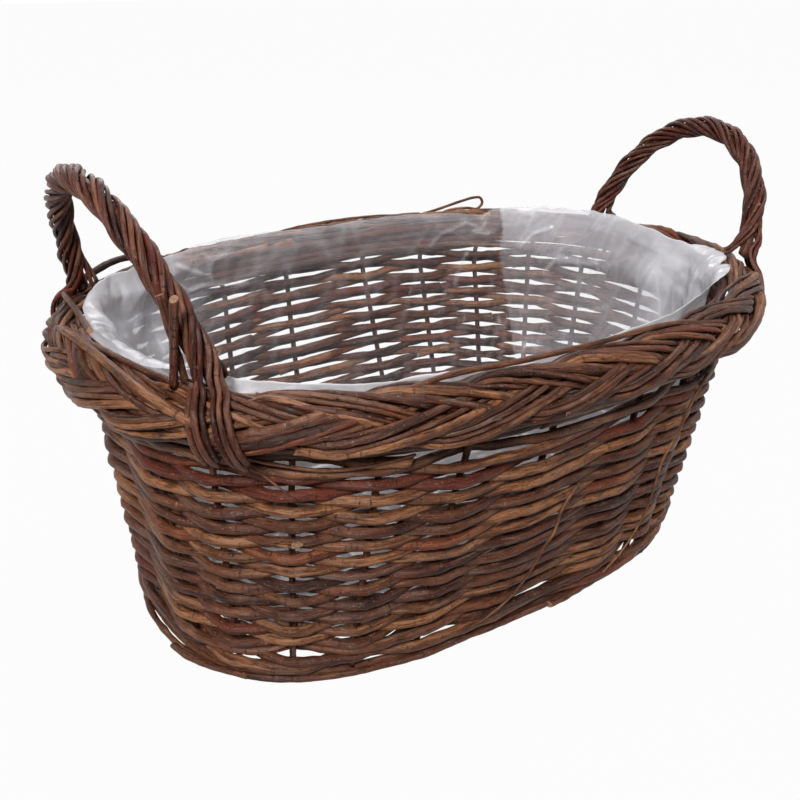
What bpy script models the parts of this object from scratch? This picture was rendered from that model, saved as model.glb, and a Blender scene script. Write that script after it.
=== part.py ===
"""Oblong willow planter basket: stakes and woven rods on an oval base, a plaited
border, two roped end handles and a clear film liner.

Metres, +Z up. The basket stands on z = 0 and its length runs along X. The origin
is under the middle of the whole length, handles included.
"""

import math

import bmesh
import bpy
import numpy as np

# Rods
STAKE_DIAMETER = 0.0036
WEAVER_DIAMETER = 0.0042
BORDER_ROD_DIAMETER = 0.0033
BASE_STICK_DIAMETER = 0.0050
BASE_WEAVER_DIAMETER = 0.0032
FOOT_HOOP_DIAMETER = 0.0055
FOOT_HOOP_SIDES = 6
CLEARANCE = 0.0003
BUTT_GAP = 0.0015
STAKE_COUNT = 23

# Outline of the woven wall, outside the rods, at the floor, and how much it grows up to the border
FOOT_HALF_LENGTH = 0.1725
FOOT_HALF_WIDTH = 0.1030
FOOT_SQUARENESS = 2.9
WALL_LEAN_LENGTH = 0.0175
WALL_LEAN_WIDTH = 0.0345
RIM_SQUARENESS = 2.4
WALL_TOP_GAP = 0.0024
STAKE_PHASE = math.radians(-94.1)
STAKE_SPREAD = math.radians(4.0)
# How far along the border a stake's end has gone where it enters the plait, lies over and stops
STAKE_TURN = (0.002, 0.014, 0.030)
UP = np.array([0.0, 0.0, 1.0])

# Woven rounds, counted from the floor up
BOTTOM_WALE_ROUNDS = 3
WEAVER_COUNT = 11
WEAVER_STROKES = 50
TOP_WALE_ROUNDS = 2

# Plaited border, wrapped round a line above the wall's top, a little outside or inside its outline
BORDER_OUT_LENGTH = 0.0046
BORDER_OUT_WIDTH = -0.0014
BORDER_RISE = 0.016
PLAIT_UNDER_RADIUS = 0.0096
PLAIT_OVER_RADIUS = 0.0150
PLAIT_MIDDLE = math.radians(20)
PLAIT_SWING = math.radians(82)
PLAIT_LEVEL_START = math.radians(18)
PLAIT_STRANDS = 3
RODS_PER_STRAND = 3
STRAND_ROD_SPACING = 0.0040
# Rods side by side start this share of a round apart
ROD_STAGGER = 1 / 6

# Roped handles: each arch is an ellipse in a plane that leans away from the basket. The inset is from
# the border's end to its feet, and the centre is the height of its middle above the border's line.
BOW_DIAMETER = 0.0040
WRAP_THICKNESS = 0.0028
WRAP_COUNT = 3
WRAP_STEP = 0.0078
WRAP_SLACK = 0.0014
# The share of the bow that is bare at each end
WRAP_START = 0.02
# Where a bundle's end leaves the border's top, from where the bow stands, and where it stops
OUTER_TAIL_START = -14
OUTER_TAIL_STOP = -72
OUTER_TAIL_POINTS = 7
INNER_TAIL_START = 12
INNER_TAIL_STOP = 122
INNER_TAIL_STEP = 25
TAIL_SPREAD = 0.0045
TAIL_SPREAD_START = 0.3
TAIL_SLACK = 0.0004
LEFT_ARCH = {
    "side": -1, "inset": 0.0253, "middle": 0.0, "half_span": 0.0831,
    "centre": -0.0019, "rise": 0.0935, "lean": 0.298, "turns": 4,
}
RIGHT_ARCH = {
    "side": 1, "inset": 0.0074, "middle": -0.0127, "half_span": 0.0605,
    "centre": 0.0124, "rise": 0.0690, "lean": 0.423, "turns": 10 / 3,
}
BOW_POINTS = 27
PEG_DIAMETER = 0.0036
# From the foot of the left handle's near leg: the peg's base in plan, and its tip
PEG_PLACES = (
    ((-0.0142, 0.0102), (-0.0171, -0.0050, 0.0420)),
    ((-0.0088, 0.0098), (-0.0197, 0.0030, 0.0420)),
)

# Oval base
LONG_STICK_COUNT = 3
LONG_STICK_SPACING = 0.015
CROSS_STICK_COUNT = 7
CROSS_STICK_SPACING = 0.029
BASE_ROUNDS = 4
BASE_INNER_GAP = 0.019
BASE_EDGE_GAP = 0.008
BASE_SQUARENESS = 3.0

# Film liner
FILM_THICKNESS = 0.0010
FILM_FOLDS = 13
FILM_FOLD_DEPTH = 0.0022
FILM_POINTS_ROUND = 52
FILM_CORNER = 0.004
# Up the wall: share of its height, and of the folds' depth
FILM_WALL_RINGS = ((0.0, 0.0), (0.5, 0.6), (1.0, 1.0))
# Height above the border's line, and how far inside that line
FILM_UPPER_RINGS = ((-0.006, 0.0124), (0.0155, 0.0122))

# Values that follow from the ones above
WALL_HALF_LENGTH = FOOT_HALF_LENGTH + WALL_LEAN_LENGTH
WALL_HALF_WIDTH = FOOT_HALF_WIDTH + WALL_LEAN_WIDTH
BORDER_HALF_LENGTH = WALL_HALF_LENGTH + BORDER_OUT_LENGTH
BORDER_HALF_WIDTH = WALL_HALF_WIDTH + BORDER_OUT_WIDTH
WEAVE_OFFSET = STAKE_DIAMETER / 2 + CLEARANCE + WEAVER_DIAMETER / 2
WALL_DEPTH = WEAVE_OFFSET + WEAVER_DIAMETER / 2
ROW_PITCH = WEAVER_DIAMETER + CLEARANCE
FOOT_CUT = FOOT_HOOP_DIAMETER * 0.1
FOOT_TOP = FOOT_HOOP_DIAMETER - FOOT_CUT
FIRST_ROW_HEIGHT = FOOT_TOP + CLEARANCE + WEAVER_DIAMETER / 2
FIRST_WEAVER_STROKE = BOTTOM_WALE_ROUNDS * STAKE_COUNT
TOP_WALE_STROKE = FIRST_WEAVER_STROKE + WEAVER_COUNT * WEAVER_STROKES
LAST_STROKE = TOP_WALE_STROKE + TOP_WALE_ROUNDS * STAKE_COUNT
TOP_ROW_HEIGHT = FIRST_ROW_HEIGHT + ROW_PITCH * LAST_STROKE / STAKE_COUNT
WALL_HEIGHT = TOP_ROW_HEIGHT + WEAVER_DIAMETER / 2 + WALL_TOP_GAP
BORDER_HEIGHT = WALL_HEIGHT + BORDER_RISE
PLAIT_REACH = PLAIT_OVER_RADIUS + BORDER_ROD_DIAMETER / 2
# The rods cut across the inside of each bend by about a seventh of their radius
PLAIT_INNER_RADIUS = PLAIT_UNDER_RADIUS * 6 / 7 - BORDER_ROD_DIAMETER / 2
RIM_TOP = BORDER_HEIGHT + PLAIT_REACH
WRAP_OFFSET = BOW_DIAMETER / 2 + WRAP_SLACK + WRAP_THICKNESS / 2
WRAP_BEND = WRAP_OFFSET * 1.25
WRAP_HALF_WIDTH = WRAP_OFFSET * math.pi / WRAP_COUNT * 0.82
WRAP_SECTION = ((-1, 0), (-0.6, 1), (0.6, 1), (1, 0), (0.6, -1), (-0.6, -1))
TAIL_RADIUS = PLAIT_REACH + TAIL_SLACK + WRAP_THICKNESS / 2
TAIL_BEND = 4 * TAIL_RADIUS
BOW_SEAT_GAP = BOW_DIAMETER / 20
BASE_HEIGHT = FOOT_TOP + BASE_STICK_DIAMETER / 2 + BASE_WEAVER_DIAMETER
BASE_WEAVE_OFFSET = BASE_STICK_DIAMETER / 2 + CLEARANCE + BASE_WEAVER_DIAMETER / 2
# A base weaver passes a stick on a slant, so it is lifted by more than their distance
BASE_WEAVE_LIFT = BASE_WEAVE_OFFSET / math.sqrt(1 - (2 * BASE_WEAVE_OFFSET / LONG_STICK_SPACING) ** 2)
FILM_BOTTOM_HEIGHT = BASE_HEIGHT + BASE_WEAVE_LIFT + BASE_WEAVER_DIAMETER / 2 + CLEARANCE


def reach(arch):
    """How far the handle's outer face lies from the basket's own middle."""
    top = BORDER_HEIGHT + arch["centre"] + arch["rise"]
    middle = BORDER_HALF_LENGTH - arch["inset"] + arch["lean"] * (top - RIM_TOP)
    return middle + WRAP_OFFSET + WRAP_THICKNESS / 2


RIM_REACH = BORDER_HALF_LENGTH + PLAIT_REACH
MIDDLE_X = (max(RIM_REACH, reach(LEFT_ARCH)) - max(RIM_REACH, reach(RIGHT_ARCH))) / 2


def mix(low, high, share):
    return low + (high - low) * share


def unit(vectors):
    return vectors / np.linalg.norm(vectors, axis=-1, keepdims=True)


class Outline:
    """A horizontal superellipse. Its sizes are numbers, or arrays with one for each point."""

    def __init__(self, half_length, half_width, squareness):
        self.half_length = half_length
        self.half_width = half_width
        self.squareness = squareness

    def normal(self, angle):
        """The unit outward normals at these angles, from the curve's gradient."""
        power = 2 - 2 / self.squareness
        cosine, sine = np.cos(angle), np.sin(angle)
        gradient_x = np.sign(cosine) * np.abs(cosine) ** power / self.half_length
        gradient_y = np.sign(sine) * np.abs(sine) ** power / self.half_width
        return unit(np.stack([gradient_x, gradient_y], axis=-1))

    def at(self, angle, outward=0.0):
        """The points at these angles, moved outward along the normal."""
        power = 2 / self.squareness
        cosine, sine = np.cos(angle), np.sin(angle)
        x = self.half_length * np.sign(cosine) * np.abs(cosine) ** power
        y = self.half_width * np.sign(sine) * np.abs(sine) ** power
        return np.stack([x, y], axis=-1) + self.normal(angle) * np.expand_dims(outward, -1)

    def x_at(self, y):
        return self.half_length * (1 - (abs(y) / self.half_width) ** self.squareness) ** (1 / self.squareness)

    def y_at(self, x):
        return self.half_width * (1 - (abs(x) / self.half_length) ** self.squareness) ** (1 / self.squareness)

    def steps(self):
        """A fine table of angles, and the distance from each to the next."""
        table = np.linspace(-math.pi, math.pi, 2881)
        return table, np.linalg.norm(np.diff(self.at(table), axis=0), axis=1)

    def length(self):
        return self.steps()[1].sum()

    def angles(self, share):
        """The angles at these shares of the perimeter, from the -X end towards -Y."""
        table, steps = self.steps()
        shares = np.concatenate([[0.0], np.cumsum(steps)]) / steps.sum()
        rounds = np.floor(share)
        return np.interp(share - rounds, shares, table) + rounds * 2 * math.pi


BORDER_LINE = Outline(BORDER_HALF_LENGTH, BORDER_HALF_WIDTH, RIM_SQUARENESS)


def wall(angle, height, outward=0.0):
    """Points of the surface that the stakes stand in, moved outward, one for each angle."""
    share = np.asarray(height) / WALL_HEIGHT
    level = Outline(
        mix(FOOT_HALF_LENGTH, WALL_HALF_LENGTH, share) - WALL_DEPTH,
        mix(FOOT_HALF_WIDTH, WALL_HALF_WIDTH, share) - WALL_DEPTH,
        mix(FOOT_SQUARENESS, RIM_SQUARENESS, share),
    )
    flat = level.at(angle, outward)
    return np.column_stack([flat, np.broadcast_to(height, len(flat))])


def around_border(angle, radius, turn):
    """Points at this radius and turn round the border's line: a turn of 0 is outward, 90 degrees up."""
    flat = BORDER_LINE.at(angle, radius * np.cos(turn))
    return np.column_stack([flat, BORDER_HEIGHT + radius * np.sin(turn) + np.zeros(len(flat))])


def stake_angle(index):
    """The stakes stand closer on the long sides than round the ends."""
    angle = STAKE_PHASE + 2 * math.pi * np.asarray(index) / STAKE_COUNT
    return angle + STAKE_SPREAD * np.sin(2 * angle)


def trimmed(points):
    """The points with the last one pulled back, for the gap before the next rod's start."""
    span = np.linalg.norm(points[-1] - points[-2])
    return np.vstack([points[:-1], mix(points[-2], points[-1], 1 - BUTT_GAP / span)])


def material(name, color, roughness, alpha=1.0):
    """A Principled material of one plain colour."""
    made = bpy.data.materials.new(name)
    made.use_nodes = True
    shader = made.node_tree.nodes["Principled BSDF"]
    shader.inputs["Base Color"].default_value = (*color, 1.0)
    shader.inputs["Roughness"].default_value = roughness
    shader.inputs["Alpha"].default_value = alpha
    made.diffuse_color = (*color, alpha)
    return made


def clear_scene():
    for old in list(bpy.data.objects):
        bpy.data.objects.remove(old, do_unlink=True)


def add_object(name, data, collection, parent, finish):
    """Puts a mesh or a curve in the collection, under the parent empty."""
    made = bpy.data.objects.new(name, data)
    data.materials.append(finish)
    collection.objects.link(made)
    made.parent = parent
    return made


class Workshop:
    """Makes the pieces of one basket and keeps where they go."""

    def __init__(self):
        self.parts = bpy.data.collections.new("wicker_planter_basket")
        self.guides = bpy.data.collections.new("guides")
        for collection in (self.parts, self.guides):
            bpy.context.scene.collection.children.link(collection)
        self.centre = bpy.data.objects.new("basket_centre", None)
        self.centre.location = (MIDDLE_X, 0.0, 0.0)
        self.parts.objects.link(self.centre)
        self.bark = material("brown_bark", (0.16, 0.075, 0.045), 0.55)
        self.red_bark = material("red_bark", (0.20, 0.070, 0.045), 0.50)
        self.film = material("clear_film", (0.80, 0.80, 0.84), 0.25, alpha=0.35)

    def rod(self, name, points, diameter, finish=None, resolution=0):
        """A willow rod along these points: 4 sides, and 2 more for each step of resolution."""
        curve = bpy.data.curves.new(name, "CURVE")
        curve.dimensions = "3D"
        curve.bevel_depth = diameter / 2
        curve.bevel_resolution = resolution
        curve.use_fill_caps = True
        line = curve.splines.new("POLY")
        line.points.add(len(points) - 1)
        line.points.foreach_set("co", np.column_stack([points, np.ones(len(points))]).ravel())
        return add_object(name, curve, self.parts, self.centre, finish or self.bark)

    def mesh(self, name, vertices, faces, finish):
        data = bpy.data.meshes.new(name)
        data.from_pydata([tuple(v) for v in vertices], [], faces)
        data.update()
        return add_object(name, data, self.parts, self.centre, finish)

    def solid_of(self, piece):
        """The piece as a mesh with its caps welded, because a curve takes no Boolean."""
        bpy.context.view_layer.update()
        graph = bpy.context.evaluated_depsgraph_get()
        data = bpy.data.meshes.new_from_object(piece.evaluated_get(graph))
        work = bmesh.new()
        work.from_mesh(data)
        bmesh.ops.remove_doubles(work, verts=work.verts, dist=1e-5)
        work.to_mesh(data)
        work.free()
        name = piece.name
        bpy.data.objects.remove(piece)
        made = bpy.data.objects.new(name, data)
        self.guides.objects.link(made)
        made.parent = self.centre
        made.hide_render = True
        made.display_type = "WIRE"
        return made

    def stakes(self):
        """Upright stakes from the foot hoop up the wall, each turned over inside the plait."""
        for index in range(STAKE_COUNT):
            angle = stake_angle([index])
            heights = np.linspace(FOOT_TOP + CLEARANCE, WALL_HEIGHT, 4)
            upright = wall(np.repeat(angle, 4), heights)
            normal = np.append(BORDER_LINE.normal(angle)[0], 0.0)
            along = np.array([-normal[1], normal[0], 0.0])
            middle = np.append(BORDER_LINE.at(angle)[0], BORDER_HEIGHT)
            core = PLAIT_INNER_RADIUS - STAKE_DIAMETER / 2 - CLEARANCE
            turned = [middle + side * core + along * length for side, length in zip((-normal, UP, UP), STAKE_TURN)]
            self.rod(f"stake_{index + 1:02d}", np.vstack([upright, *turned]), STAKE_DIAMETER)

    def woven_rod(self, name, first, last, is_inside):
        """One rod of the helix of rounds, in front of a stake or behind it at each stroke."""
        strokes = np.arange(first, last + 1)
        side = np.where([is_inside(stroke - first) for stroke in strokes], -1.0, 1.0)
        height = FIRST_ROW_HEIGHT + ROW_PITCH * strokes / STAKE_COUNT
        points = wall(stake_angle(strokes), height, side * WEAVE_OFFSET)
        self.rod(name, trimmed(points), WEAVER_DIAMETER)

    def woven_wall(self):
        """Two wales that pass two stakes and tuck behind one, and plain weaving between them."""
        self.woven_rod("bottom_wale", 0, FIRST_WEAVER_STROKE, lambda stroke: stroke % 3 == 0)
        for index in range(WEAVER_COUNT):
            first = FIRST_WEAVER_STROKE + index * WEAVER_STROKES
            last = first + WEAVER_STROKES
            self.woven_rod(f"weaver_{index + 1:02d}", first, last, lambda stroke: stroke % 2 == 0)
        self.woven_rod("top_wale", TOP_WALE_STROKE, LAST_STROKE, lambda stroke: stroke % 3 == 0)

    def foot_hoop(self):
        """The rod that the basket stands on, with a flat on its underside."""
        radius = FOOT_HOOP_DIAMETER / 2
        half_flat = math.sqrt(radius ** 2 - (radius - FOOT_CUT) ** 2)
        first = math.atan2(-(radius - FOOT_CUT), half_flat)
        section = []
        for step in range(FOOT_HOOP_SIDES):
            angle = mix(first, math.pi - first, step / (FOOT_HOOP_SIDES - 1))
            section.append((radius * math.cos(angle), radius * math.sin(angle) + radius - FOOT_CUT))
        shares = np.arange(2 * STAKE_COUNT) / (2 * STAKE_COUNT)
        level = Outline(FOOT_HALF_LENGTH - WALL_DEPTH, FOOT_HALF_WIDTH - WALL_DEPTH, FOOT_SQUARENESS)
        angles = level.angles(shares)
        vertices = []
        for out, height in section:
            flat = level.at(angles, out)
            vertices.append(np.column_stack([flat, np.full(len(flat), height)]))
        self.mesh("foot_hoop", np.vstack(vertices), ring_faces(len(section), len(shares)), self.bark)

    def border(self):
        """Three strands of three rods, plaited over the stakes' turned ends."""
        start, end = PLAIT_LEVEL_START, math.pi / 2 - PLAIT_LEVEL_START
        pattern = np.concatenate([(start + turn, end + turn) for turn in np.arange(4) * math.pi / 2])
        levels = np.tile([PLAIT_UNDER_RADIUS] * 2 + [PLAIT_OVER_RADIUS] * 2, 2)
        periods = STAKE_COUNT / PLAIT_STRANDS
        length = BORDER_LINE.length()
        middle_radius = (PLAIT_UNDER_RADIUS + PLAIT_OVER_RADIUS) / 2
        for index in range(PLAIT_STRANDS * RODS_PER_STRAND):
            strand, lane = divmod(index, RODS_PER_STRAND)
            first = math.ceil((strand + lane * ROD_STAGGER) * periods * len(pattern))
            steps = np.arange(first, first + round(periods * len(pattern)) + 1)
            phase = pattern[steps % len(pattern)] + 2 * math.pi * (steps // len(pattern))
            radius = levels[steps % len(pattern)]
            slope = middle_radius * PLAIT_SWING * np.cos(phase) * 2 * math.pi * periods / length
            offset = (lane - (RODS_PER_STRAND - 1) / 2) * STRAND_ROD_SPACING
            share = phase / (2 * math.pi * periods) - offset * np.sin(np.arctan(slope)) / length
            turn = PLAIT_MIDDLE + PLAIT_SWING * np.sin(phase) + offset * np.cos(np.arctan(slope)) / radius
            points = around_border(BORDER_LINE.angles(share), radius, turn)
            self.rod(f"border_rod_{index + 1}", trimmed(points), BORDER_ROD_DIAMETER)

    def base(self):
        """Crossed sticks let into each other, and two rods woven round their ends."""
        edge = Outline(
            FOOT_HALF_LENGTH - 2 * WALL_DEPTH - CLEARANCE,
            FOOT_HALF_WIDTH - 2 * WALL_DEPTH - CLEARANCE,
            FOOT_SQUARENESS,
        )
        long_places = (np.arange(LONG_STICK_COUNT) - (LONG_STICK_COUNT - 1) / 2) * LONG_STICK_SPACING
        cross_places = (np.arange(CROSS_STICK_COUNT) - (CROSS_STICK_COUNT - 1) / 2) * CROSS_STICK_SPACING
        sticks = []
        for place in long_places:
            end = edge.x_at(place)
            sticks.append([(-end, place, BASE_HEIGHT), (end, place, BASE_HEIGHT)])
        for place in cross_places:
            end = edge.y_at(place)
            sticks.append([(place, -end, BASE_HEIGHT), (place, end, BASE_HEIGHT)])
        solids = []
        for number, ends in enumerate(sticks):
            stick = self.rod(f"base_stick_{number}", np.array(ends), BASE_STICK_DIAMETER, resolution=1)
            solids.append(self.solid_of(stick))
        whole = solids[0]
        for other in solids[1:]:
            joint = whole.modifiers.new("let_in", "BOOLEAN")
            joint.operation = "UNION"
            joint.object = other
        whole.name = "base_sticks"
        self.guides.objects.unlink(whole)
        self.parts.objects.link(whole)
        whole.hide_render = False
        whole.display_type = "TEXTURED"
        self.base_weavers(edge, long_places, cross_places)

    def base_weavers(self, edge, long_places, cross_places):
        """Two rods that wind outward, one over each stick where the other goes under it."""
        strokes = 2 * (LONG_STICK_COUNT + CROSS_STICK_COUNT + 2)
        for number in (0, 1):
            points = []
            side = 1 - 2 * number
            for stroke in range(BASE_ROUNDS * strokes):
                share = (stroke / strokes + number / 2) / (BASE_ROUNDS + 0.5)
                level = Outline(
                    mix(cross_places[-1] + BASE_INNER_GAP, edge.half_length - BASE_EDGE_GAP, share),
                    mix(long_places[-1] + BASE_INNER_GAP, edge.half_width - BASE_EDGE_GAP, share),
                    BASE_SQUARENESS,
                )
                flat, is_stick = crossing(level, stroke % strokes, long_places, cross_places)
                points.append((*flat, BASE_HEIGHT + side * BASE_WEAVE_LIFT * is_stick))
                side = -side if is_stick else side
            self.rod(f"base_weaver_{number + 1}", np.array(points), BASE_WEAVER_DIAMETER)

    def handle(self, name, arch):
        """A bow over the end of the basket, roped with three flat bundles that grip the border."""
        feet = [HandleFoot(arch, end) for end in (-1, 1)]
        line = arch_points(arch, np.linspace(feet[0].angle, feet[1].angle, BOW_POINTS))
        self.rod(f"{name}_bow", line, BOW_DIAMETER, self.red_bark)
        lengths = np.concatenate([[0.0], np.cumsum(np.linalg.norm(np.diff(line, axis=0), axis=1))])
        steps = round(lengths[-1] / WRAP_STEP)
        places = np.linspace(WRAP_START, 1 - WRAP_START, steps) * lengths[-1]
        centres = np.column_stack([np.interp(places, lengths, line[:, axis]) for axis in range(3)])
        forward = unit(np.gradient(centres, axis=0))
        out = np.array([arch["side"], 0.0, 0.0])
        away = unit(out - forward * (forward @ out)[:, None])
        aside = np.cross(forward, away)
        lead = [math.atan2(feet[end].out @ aside[end], feet[end].out @ away[end]) for end in (0, -1)]
        for index in range(WRAP_COUNT):
            first = lead[0] + math.pi / 3 + 2 * math.pi * index / WRAP_COUNT
            last = first + lead[1] - lead[0] + 2 * math.pi * arch["turns"]
            twist = np.linspace(first, last, steps)[:, None]
            normals = np.cos(twist) * away + np.sin(twist) * aside
            middles = centres + normals * WRAP_OFFSET
            tails = [feet[end].tail(middles[end], normals[end]) for end in (0, -1)]
            self.bundle(
                f"{name}_wrap_{index + 1}",
                np.vstack([tails[0][0][::-1], middles, tails[1][0]]),
                np.vstack([tails[0][1][::-1], normals, tails[1][1]]),
                np.repeat([TAIL_BEND, WRAP_BEND, TAIL_BEND], [len(tails[0][0]), steps, len(tails[1][0])]),
            )

    def bundle(self, name, centres, normals, bend):
        """Rods side by side as one flat strip, its section bent to these radii round what it lies on."""
        forward = unit(np.gradient(centres, axis=0))
        across = unit(np.cross(normals, forward))
        upward = np.cross(forward, across)
        rows = []
        for width, thick in WRAP_SECTION:
            turn = width * WRAP_HALF_WIDTH / bend
            radius = bend + thick * WRAP_THICKNESS / 2
            sideways = across * (radius * np.sin(turn))[:, None]
            rows.append(centres + sideways + upward * (radius * np.cos(turn) - bend)[:, None])
        count = len(centres)
        faces = ring_faces(len(rows), count, closed=False)
        faces.append(tuple(side * count for side in range(len(rows))))
        faces.append(tuple(side * count + count - 1 for side in reversed(range(len(rows)))))
        self.mesh(name, np.vstack(rows), faces, self.red_bark)

    def pegs(self):
        """Two short rods that stand on the border beside the left handle's near leg."""
        foot = arch_points(LEFT_ARCH, np.array([HandleFoot(LEFT_ARCH, -1).angle]))[0]
        for index, (base, tip) in enumerate(PEG_PLACES):
            base = foot + (*base, 0.0)
            middle, out, _ = border_frame(base)
            base[2] = seat_height((base - middle) @ out, PEG_DIAMETER / 2) + CLEARANCE
            name = f"handle_left_peg_{index + 1}"
            self.rod(name, np.array([base, foot + tip]), PEG_DIAMETER, self.red_bark, resolution=1)

    def liner(self):
        """A cup of clear film, pleated round its upper part and held behind the border."""
        angle = np.linspace(-math.pi, math.pi, FILM_POINTS_ROUND, endpoint=False)
        fold = (1 - np.cos(FILM_FOLDS * (angle + math.pi))) / 2 * FILM_FOLD_DEPTH
        rings = [wall(angle, FILM_BOTTOM_HEIGHT, -WALL_DEPTH - CLEARANCE - FILM_CORNER)]
        for share, folded in FILM_WALL_RINGS:
            height = mix(FILM_BOTTOM_HEIGHT + FILM_CORNER, WALL_HEIGHT, share)
            rings.append(wall(angle, height, -WALL_DEPTH - CLEARANCE - fold * folded))
        for rise, inward in FILM_UPPER_RINGS:
            flat = BORDER_LINE.at(angle, -inward - fold)
            rings.append(np.column_stack([flat, np.full(len(flat), BORDER_HEIGHT + rise)]))
        faces = ring_faces(len(rings), FILM_POINTS_ROUND)[:-FILM_POINTS_ROUND]
        faces.append(tuple(reversed(range(FILM_POINTS_ROUND))))
        cup = self.mesh("liner", np.vstack(rings), faces, self.film)
        shell = cup.modifiers.new("film", "SOLIDIFY")
        shell.thickness = FILM_THICKNESS
        shell.offset = -1.0


def ring_faces(sides, count, closed=True):
    """Quads between the sides of a section, each row of vertices running along the ring."""
    faces = []
    for side in range(sides):
        following = (side + 1) % sides
        for step in range(count if closed else count - 1):
            after = (step + 1) % count
            faces.append((side * count + step, side * count + after, following * count + after, following * count + step))
    return faces


def crossing(level, stroke, long_places, cross_places):
    """Where a ring of the base passes a stick or a corner, from the +X end on, and whether it is a stick."""
    long_count, cross_count = len(long_places), len(cross_places)
    half = long_count + cross_count + 2
    turned = -1 if stroke >= half else 1
    step = stroke % half
    if step < long_count:
        flat = np.array([level.x_at(long_places[step]), long_places[step]])
        return turned * flat, True
    if long_count < step <= long_count + cross_count:
        place = cross_places[::-1][step - long_count - 1]
        return turned * np.array([place, level.y_at(place)]), True
    last_long = np.array([level.x_at(long_places[-1]), long_places[-1]])
    first_cross = np.array([cross_places[-1], level.y_at(cross_places[-1])])
    corner = (last_long + first_cross) / 2
    scale = (corner / (level.half_length, level.half_width)) ** level.squareness
    corner = corner / scale.sum() ** (1 / level.squareness)
    return turned * corner * (1 if step == long_count else (-1, 1)), False


def arch_points(arch, angle):
    """The bow's middle line: 0 is the foot on the near side, and pi the far one."""
    y = arch["middle"] - arch["half_span"] * np.cos(angle)
    z = BORDER_HEIGHT + arch["centre"] + arch["rise"] * np.sin(angle)
    x = arch["side"] * (BORDER_HALF_LENGTH - arch["inset"] + arch["lean"] * (z - RIM_TOP))
    return np.column_stack([x, y, z])


def border_frame(place):
    """The point of the border's line that is nearest in plan, and its outward and lengthwise directions."""
    angles, _ = BORDER_LINE.steps()
    flat = BORDER_LINE.at(angles)
    nearest = np.argmin(np.linalg.norm(flat - place[:2], axis=1))
    out = np.append(BORDER_LINE.normal(angles[nearest]), 0.0)
    return np.append(flat[nearest], BORDER_HEIGHT), out, np.array([-out[1], out[0], 0.0])


def seat_height(offset, radius):
    """How high the border lets a rod of this radius stand, with its axis this far out from the border's line."""
    under = np.maximum(np.abs(offset) - radius, 0)
    return BORDER_HEIGHT + np.sqrt(np.maximum(PLAIT_REACH ** 2 - under ** 2, 0)) + CLEARANCE


class HandleFoot:
    """Where one end of a bow stands on the border: the near foot is end -1."""

    def __init__(self, arch, end):
        angles = np.linspace(0, math.pi / 2, 400)
        angles = angles if end < 0 else math.pi - angles
        line = arch_points(arch, angles)
        self.middle, self.out, self.along = border_frame(line[0])
        seat = seat_height((line - self.middle) @ self.out, BOW_DIAMETER / 2)
        first = np.argmax(line[:, 2] > seat + BOW_SEAT_GAP)
        self.angle = angles[first]
        self.aside = (line[first] - self.middle) @ self.along

    def tail(self, start, normal):
        """The rest of a bundle, over the border to its underside, or to its inside for an inner one."""
        offset = start - self.middle
        first = math.degrees(math.atan2(offset[2], offset @ self.out))
        aside = offset @ self.along
        if normal @ self.out > 0:
            turns = np.radians(np.linspace(first + OUTER_TAIL_START, OUTER_TAIL_STOP, OUTER_TAIL_POINTS))
            spread = math.copysign(TAIL_SPREAD, aside - self.aside)
            spread = aside + spread * np.linspace(TAIL_SPREAD_START, 1, len(turns))
        else:
            first += INNER_TAIL_START
            steps = math.ceil((INNER_TAIL_STOP - first) / INNER_TAIL_STEP)
            turns = np.radians(np.linspace(first, INNER_TAIL_STOP, 1 + steps))
            spread = np.full(len(turns), aside)
        facing = np.cos(turns)[:, None] * self.out + np.outer(np.sin(turns), UP)
        return self.middle + facing * TAIL_RADIUS + np.outer(spread, self.along), facing


def main():
    clear_scene()
    shop = Workshop()
    shop.foot_hoop()
    shop.stakes()
    shop.woven_wall()
    shop.base()
    shop.border()
    shop.handle("handle_left", LEFT_ARCH)
    shop.handle("handle_right", RIGHT_ARCH)
    shop.pegs()
    shop.liner()


main()
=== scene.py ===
"""Looks of the oblong willow planter basket: bark, plait, roped handles and clear film.

Metres, +Z up. The basket stands on z = 0, its length runs along X, and every piece
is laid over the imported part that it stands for.
"""
import logging
import math
from dataclasses import dataclass
from enum import Enum
from typing import Any, Callable, Sequence

import bpy
import numpy as np
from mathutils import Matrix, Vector


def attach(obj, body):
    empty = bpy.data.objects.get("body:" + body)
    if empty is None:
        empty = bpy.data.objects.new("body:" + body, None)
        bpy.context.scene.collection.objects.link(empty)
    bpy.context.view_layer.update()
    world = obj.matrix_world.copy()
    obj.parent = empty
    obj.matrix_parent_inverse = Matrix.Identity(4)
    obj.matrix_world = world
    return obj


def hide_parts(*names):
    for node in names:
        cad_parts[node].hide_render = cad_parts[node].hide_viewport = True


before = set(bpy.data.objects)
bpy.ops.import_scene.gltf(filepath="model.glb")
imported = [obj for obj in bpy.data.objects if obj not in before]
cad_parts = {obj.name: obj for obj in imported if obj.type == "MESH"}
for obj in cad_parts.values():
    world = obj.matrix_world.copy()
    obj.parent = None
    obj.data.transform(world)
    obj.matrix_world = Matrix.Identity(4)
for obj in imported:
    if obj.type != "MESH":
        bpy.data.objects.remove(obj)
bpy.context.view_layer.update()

LOG = logging.getLogger("basket")
UP = np.array([0.0, 0.0, 1.0])
MM = 0.001
CLEARANCE = 0.0003
ANY_TURN = 6.28

Colour = tuple[float, float, float]
Point = tuple[float, float, float]


def mix(low: Any, high: Any, share: Any) -> Any:
    """The value that lies this share of the way from low to high."""
    return low + (high - low) * share


def eased(share: np.ndarray) -> np.ndarray:
    """The share kept from 0 to 1, with a gentle start and end: three of its squares less two of its cubes."""
    kept = np.clip(share, 0, 1)
    return kept * kept * (3 - 2 * kept)


def risen(value: Any, start: Any, length: Any) -> Any:
    """How much of this length the value is past its start, from 0 to 1."""
    return np.clip((value - start) / length, 0, 1)


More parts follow.
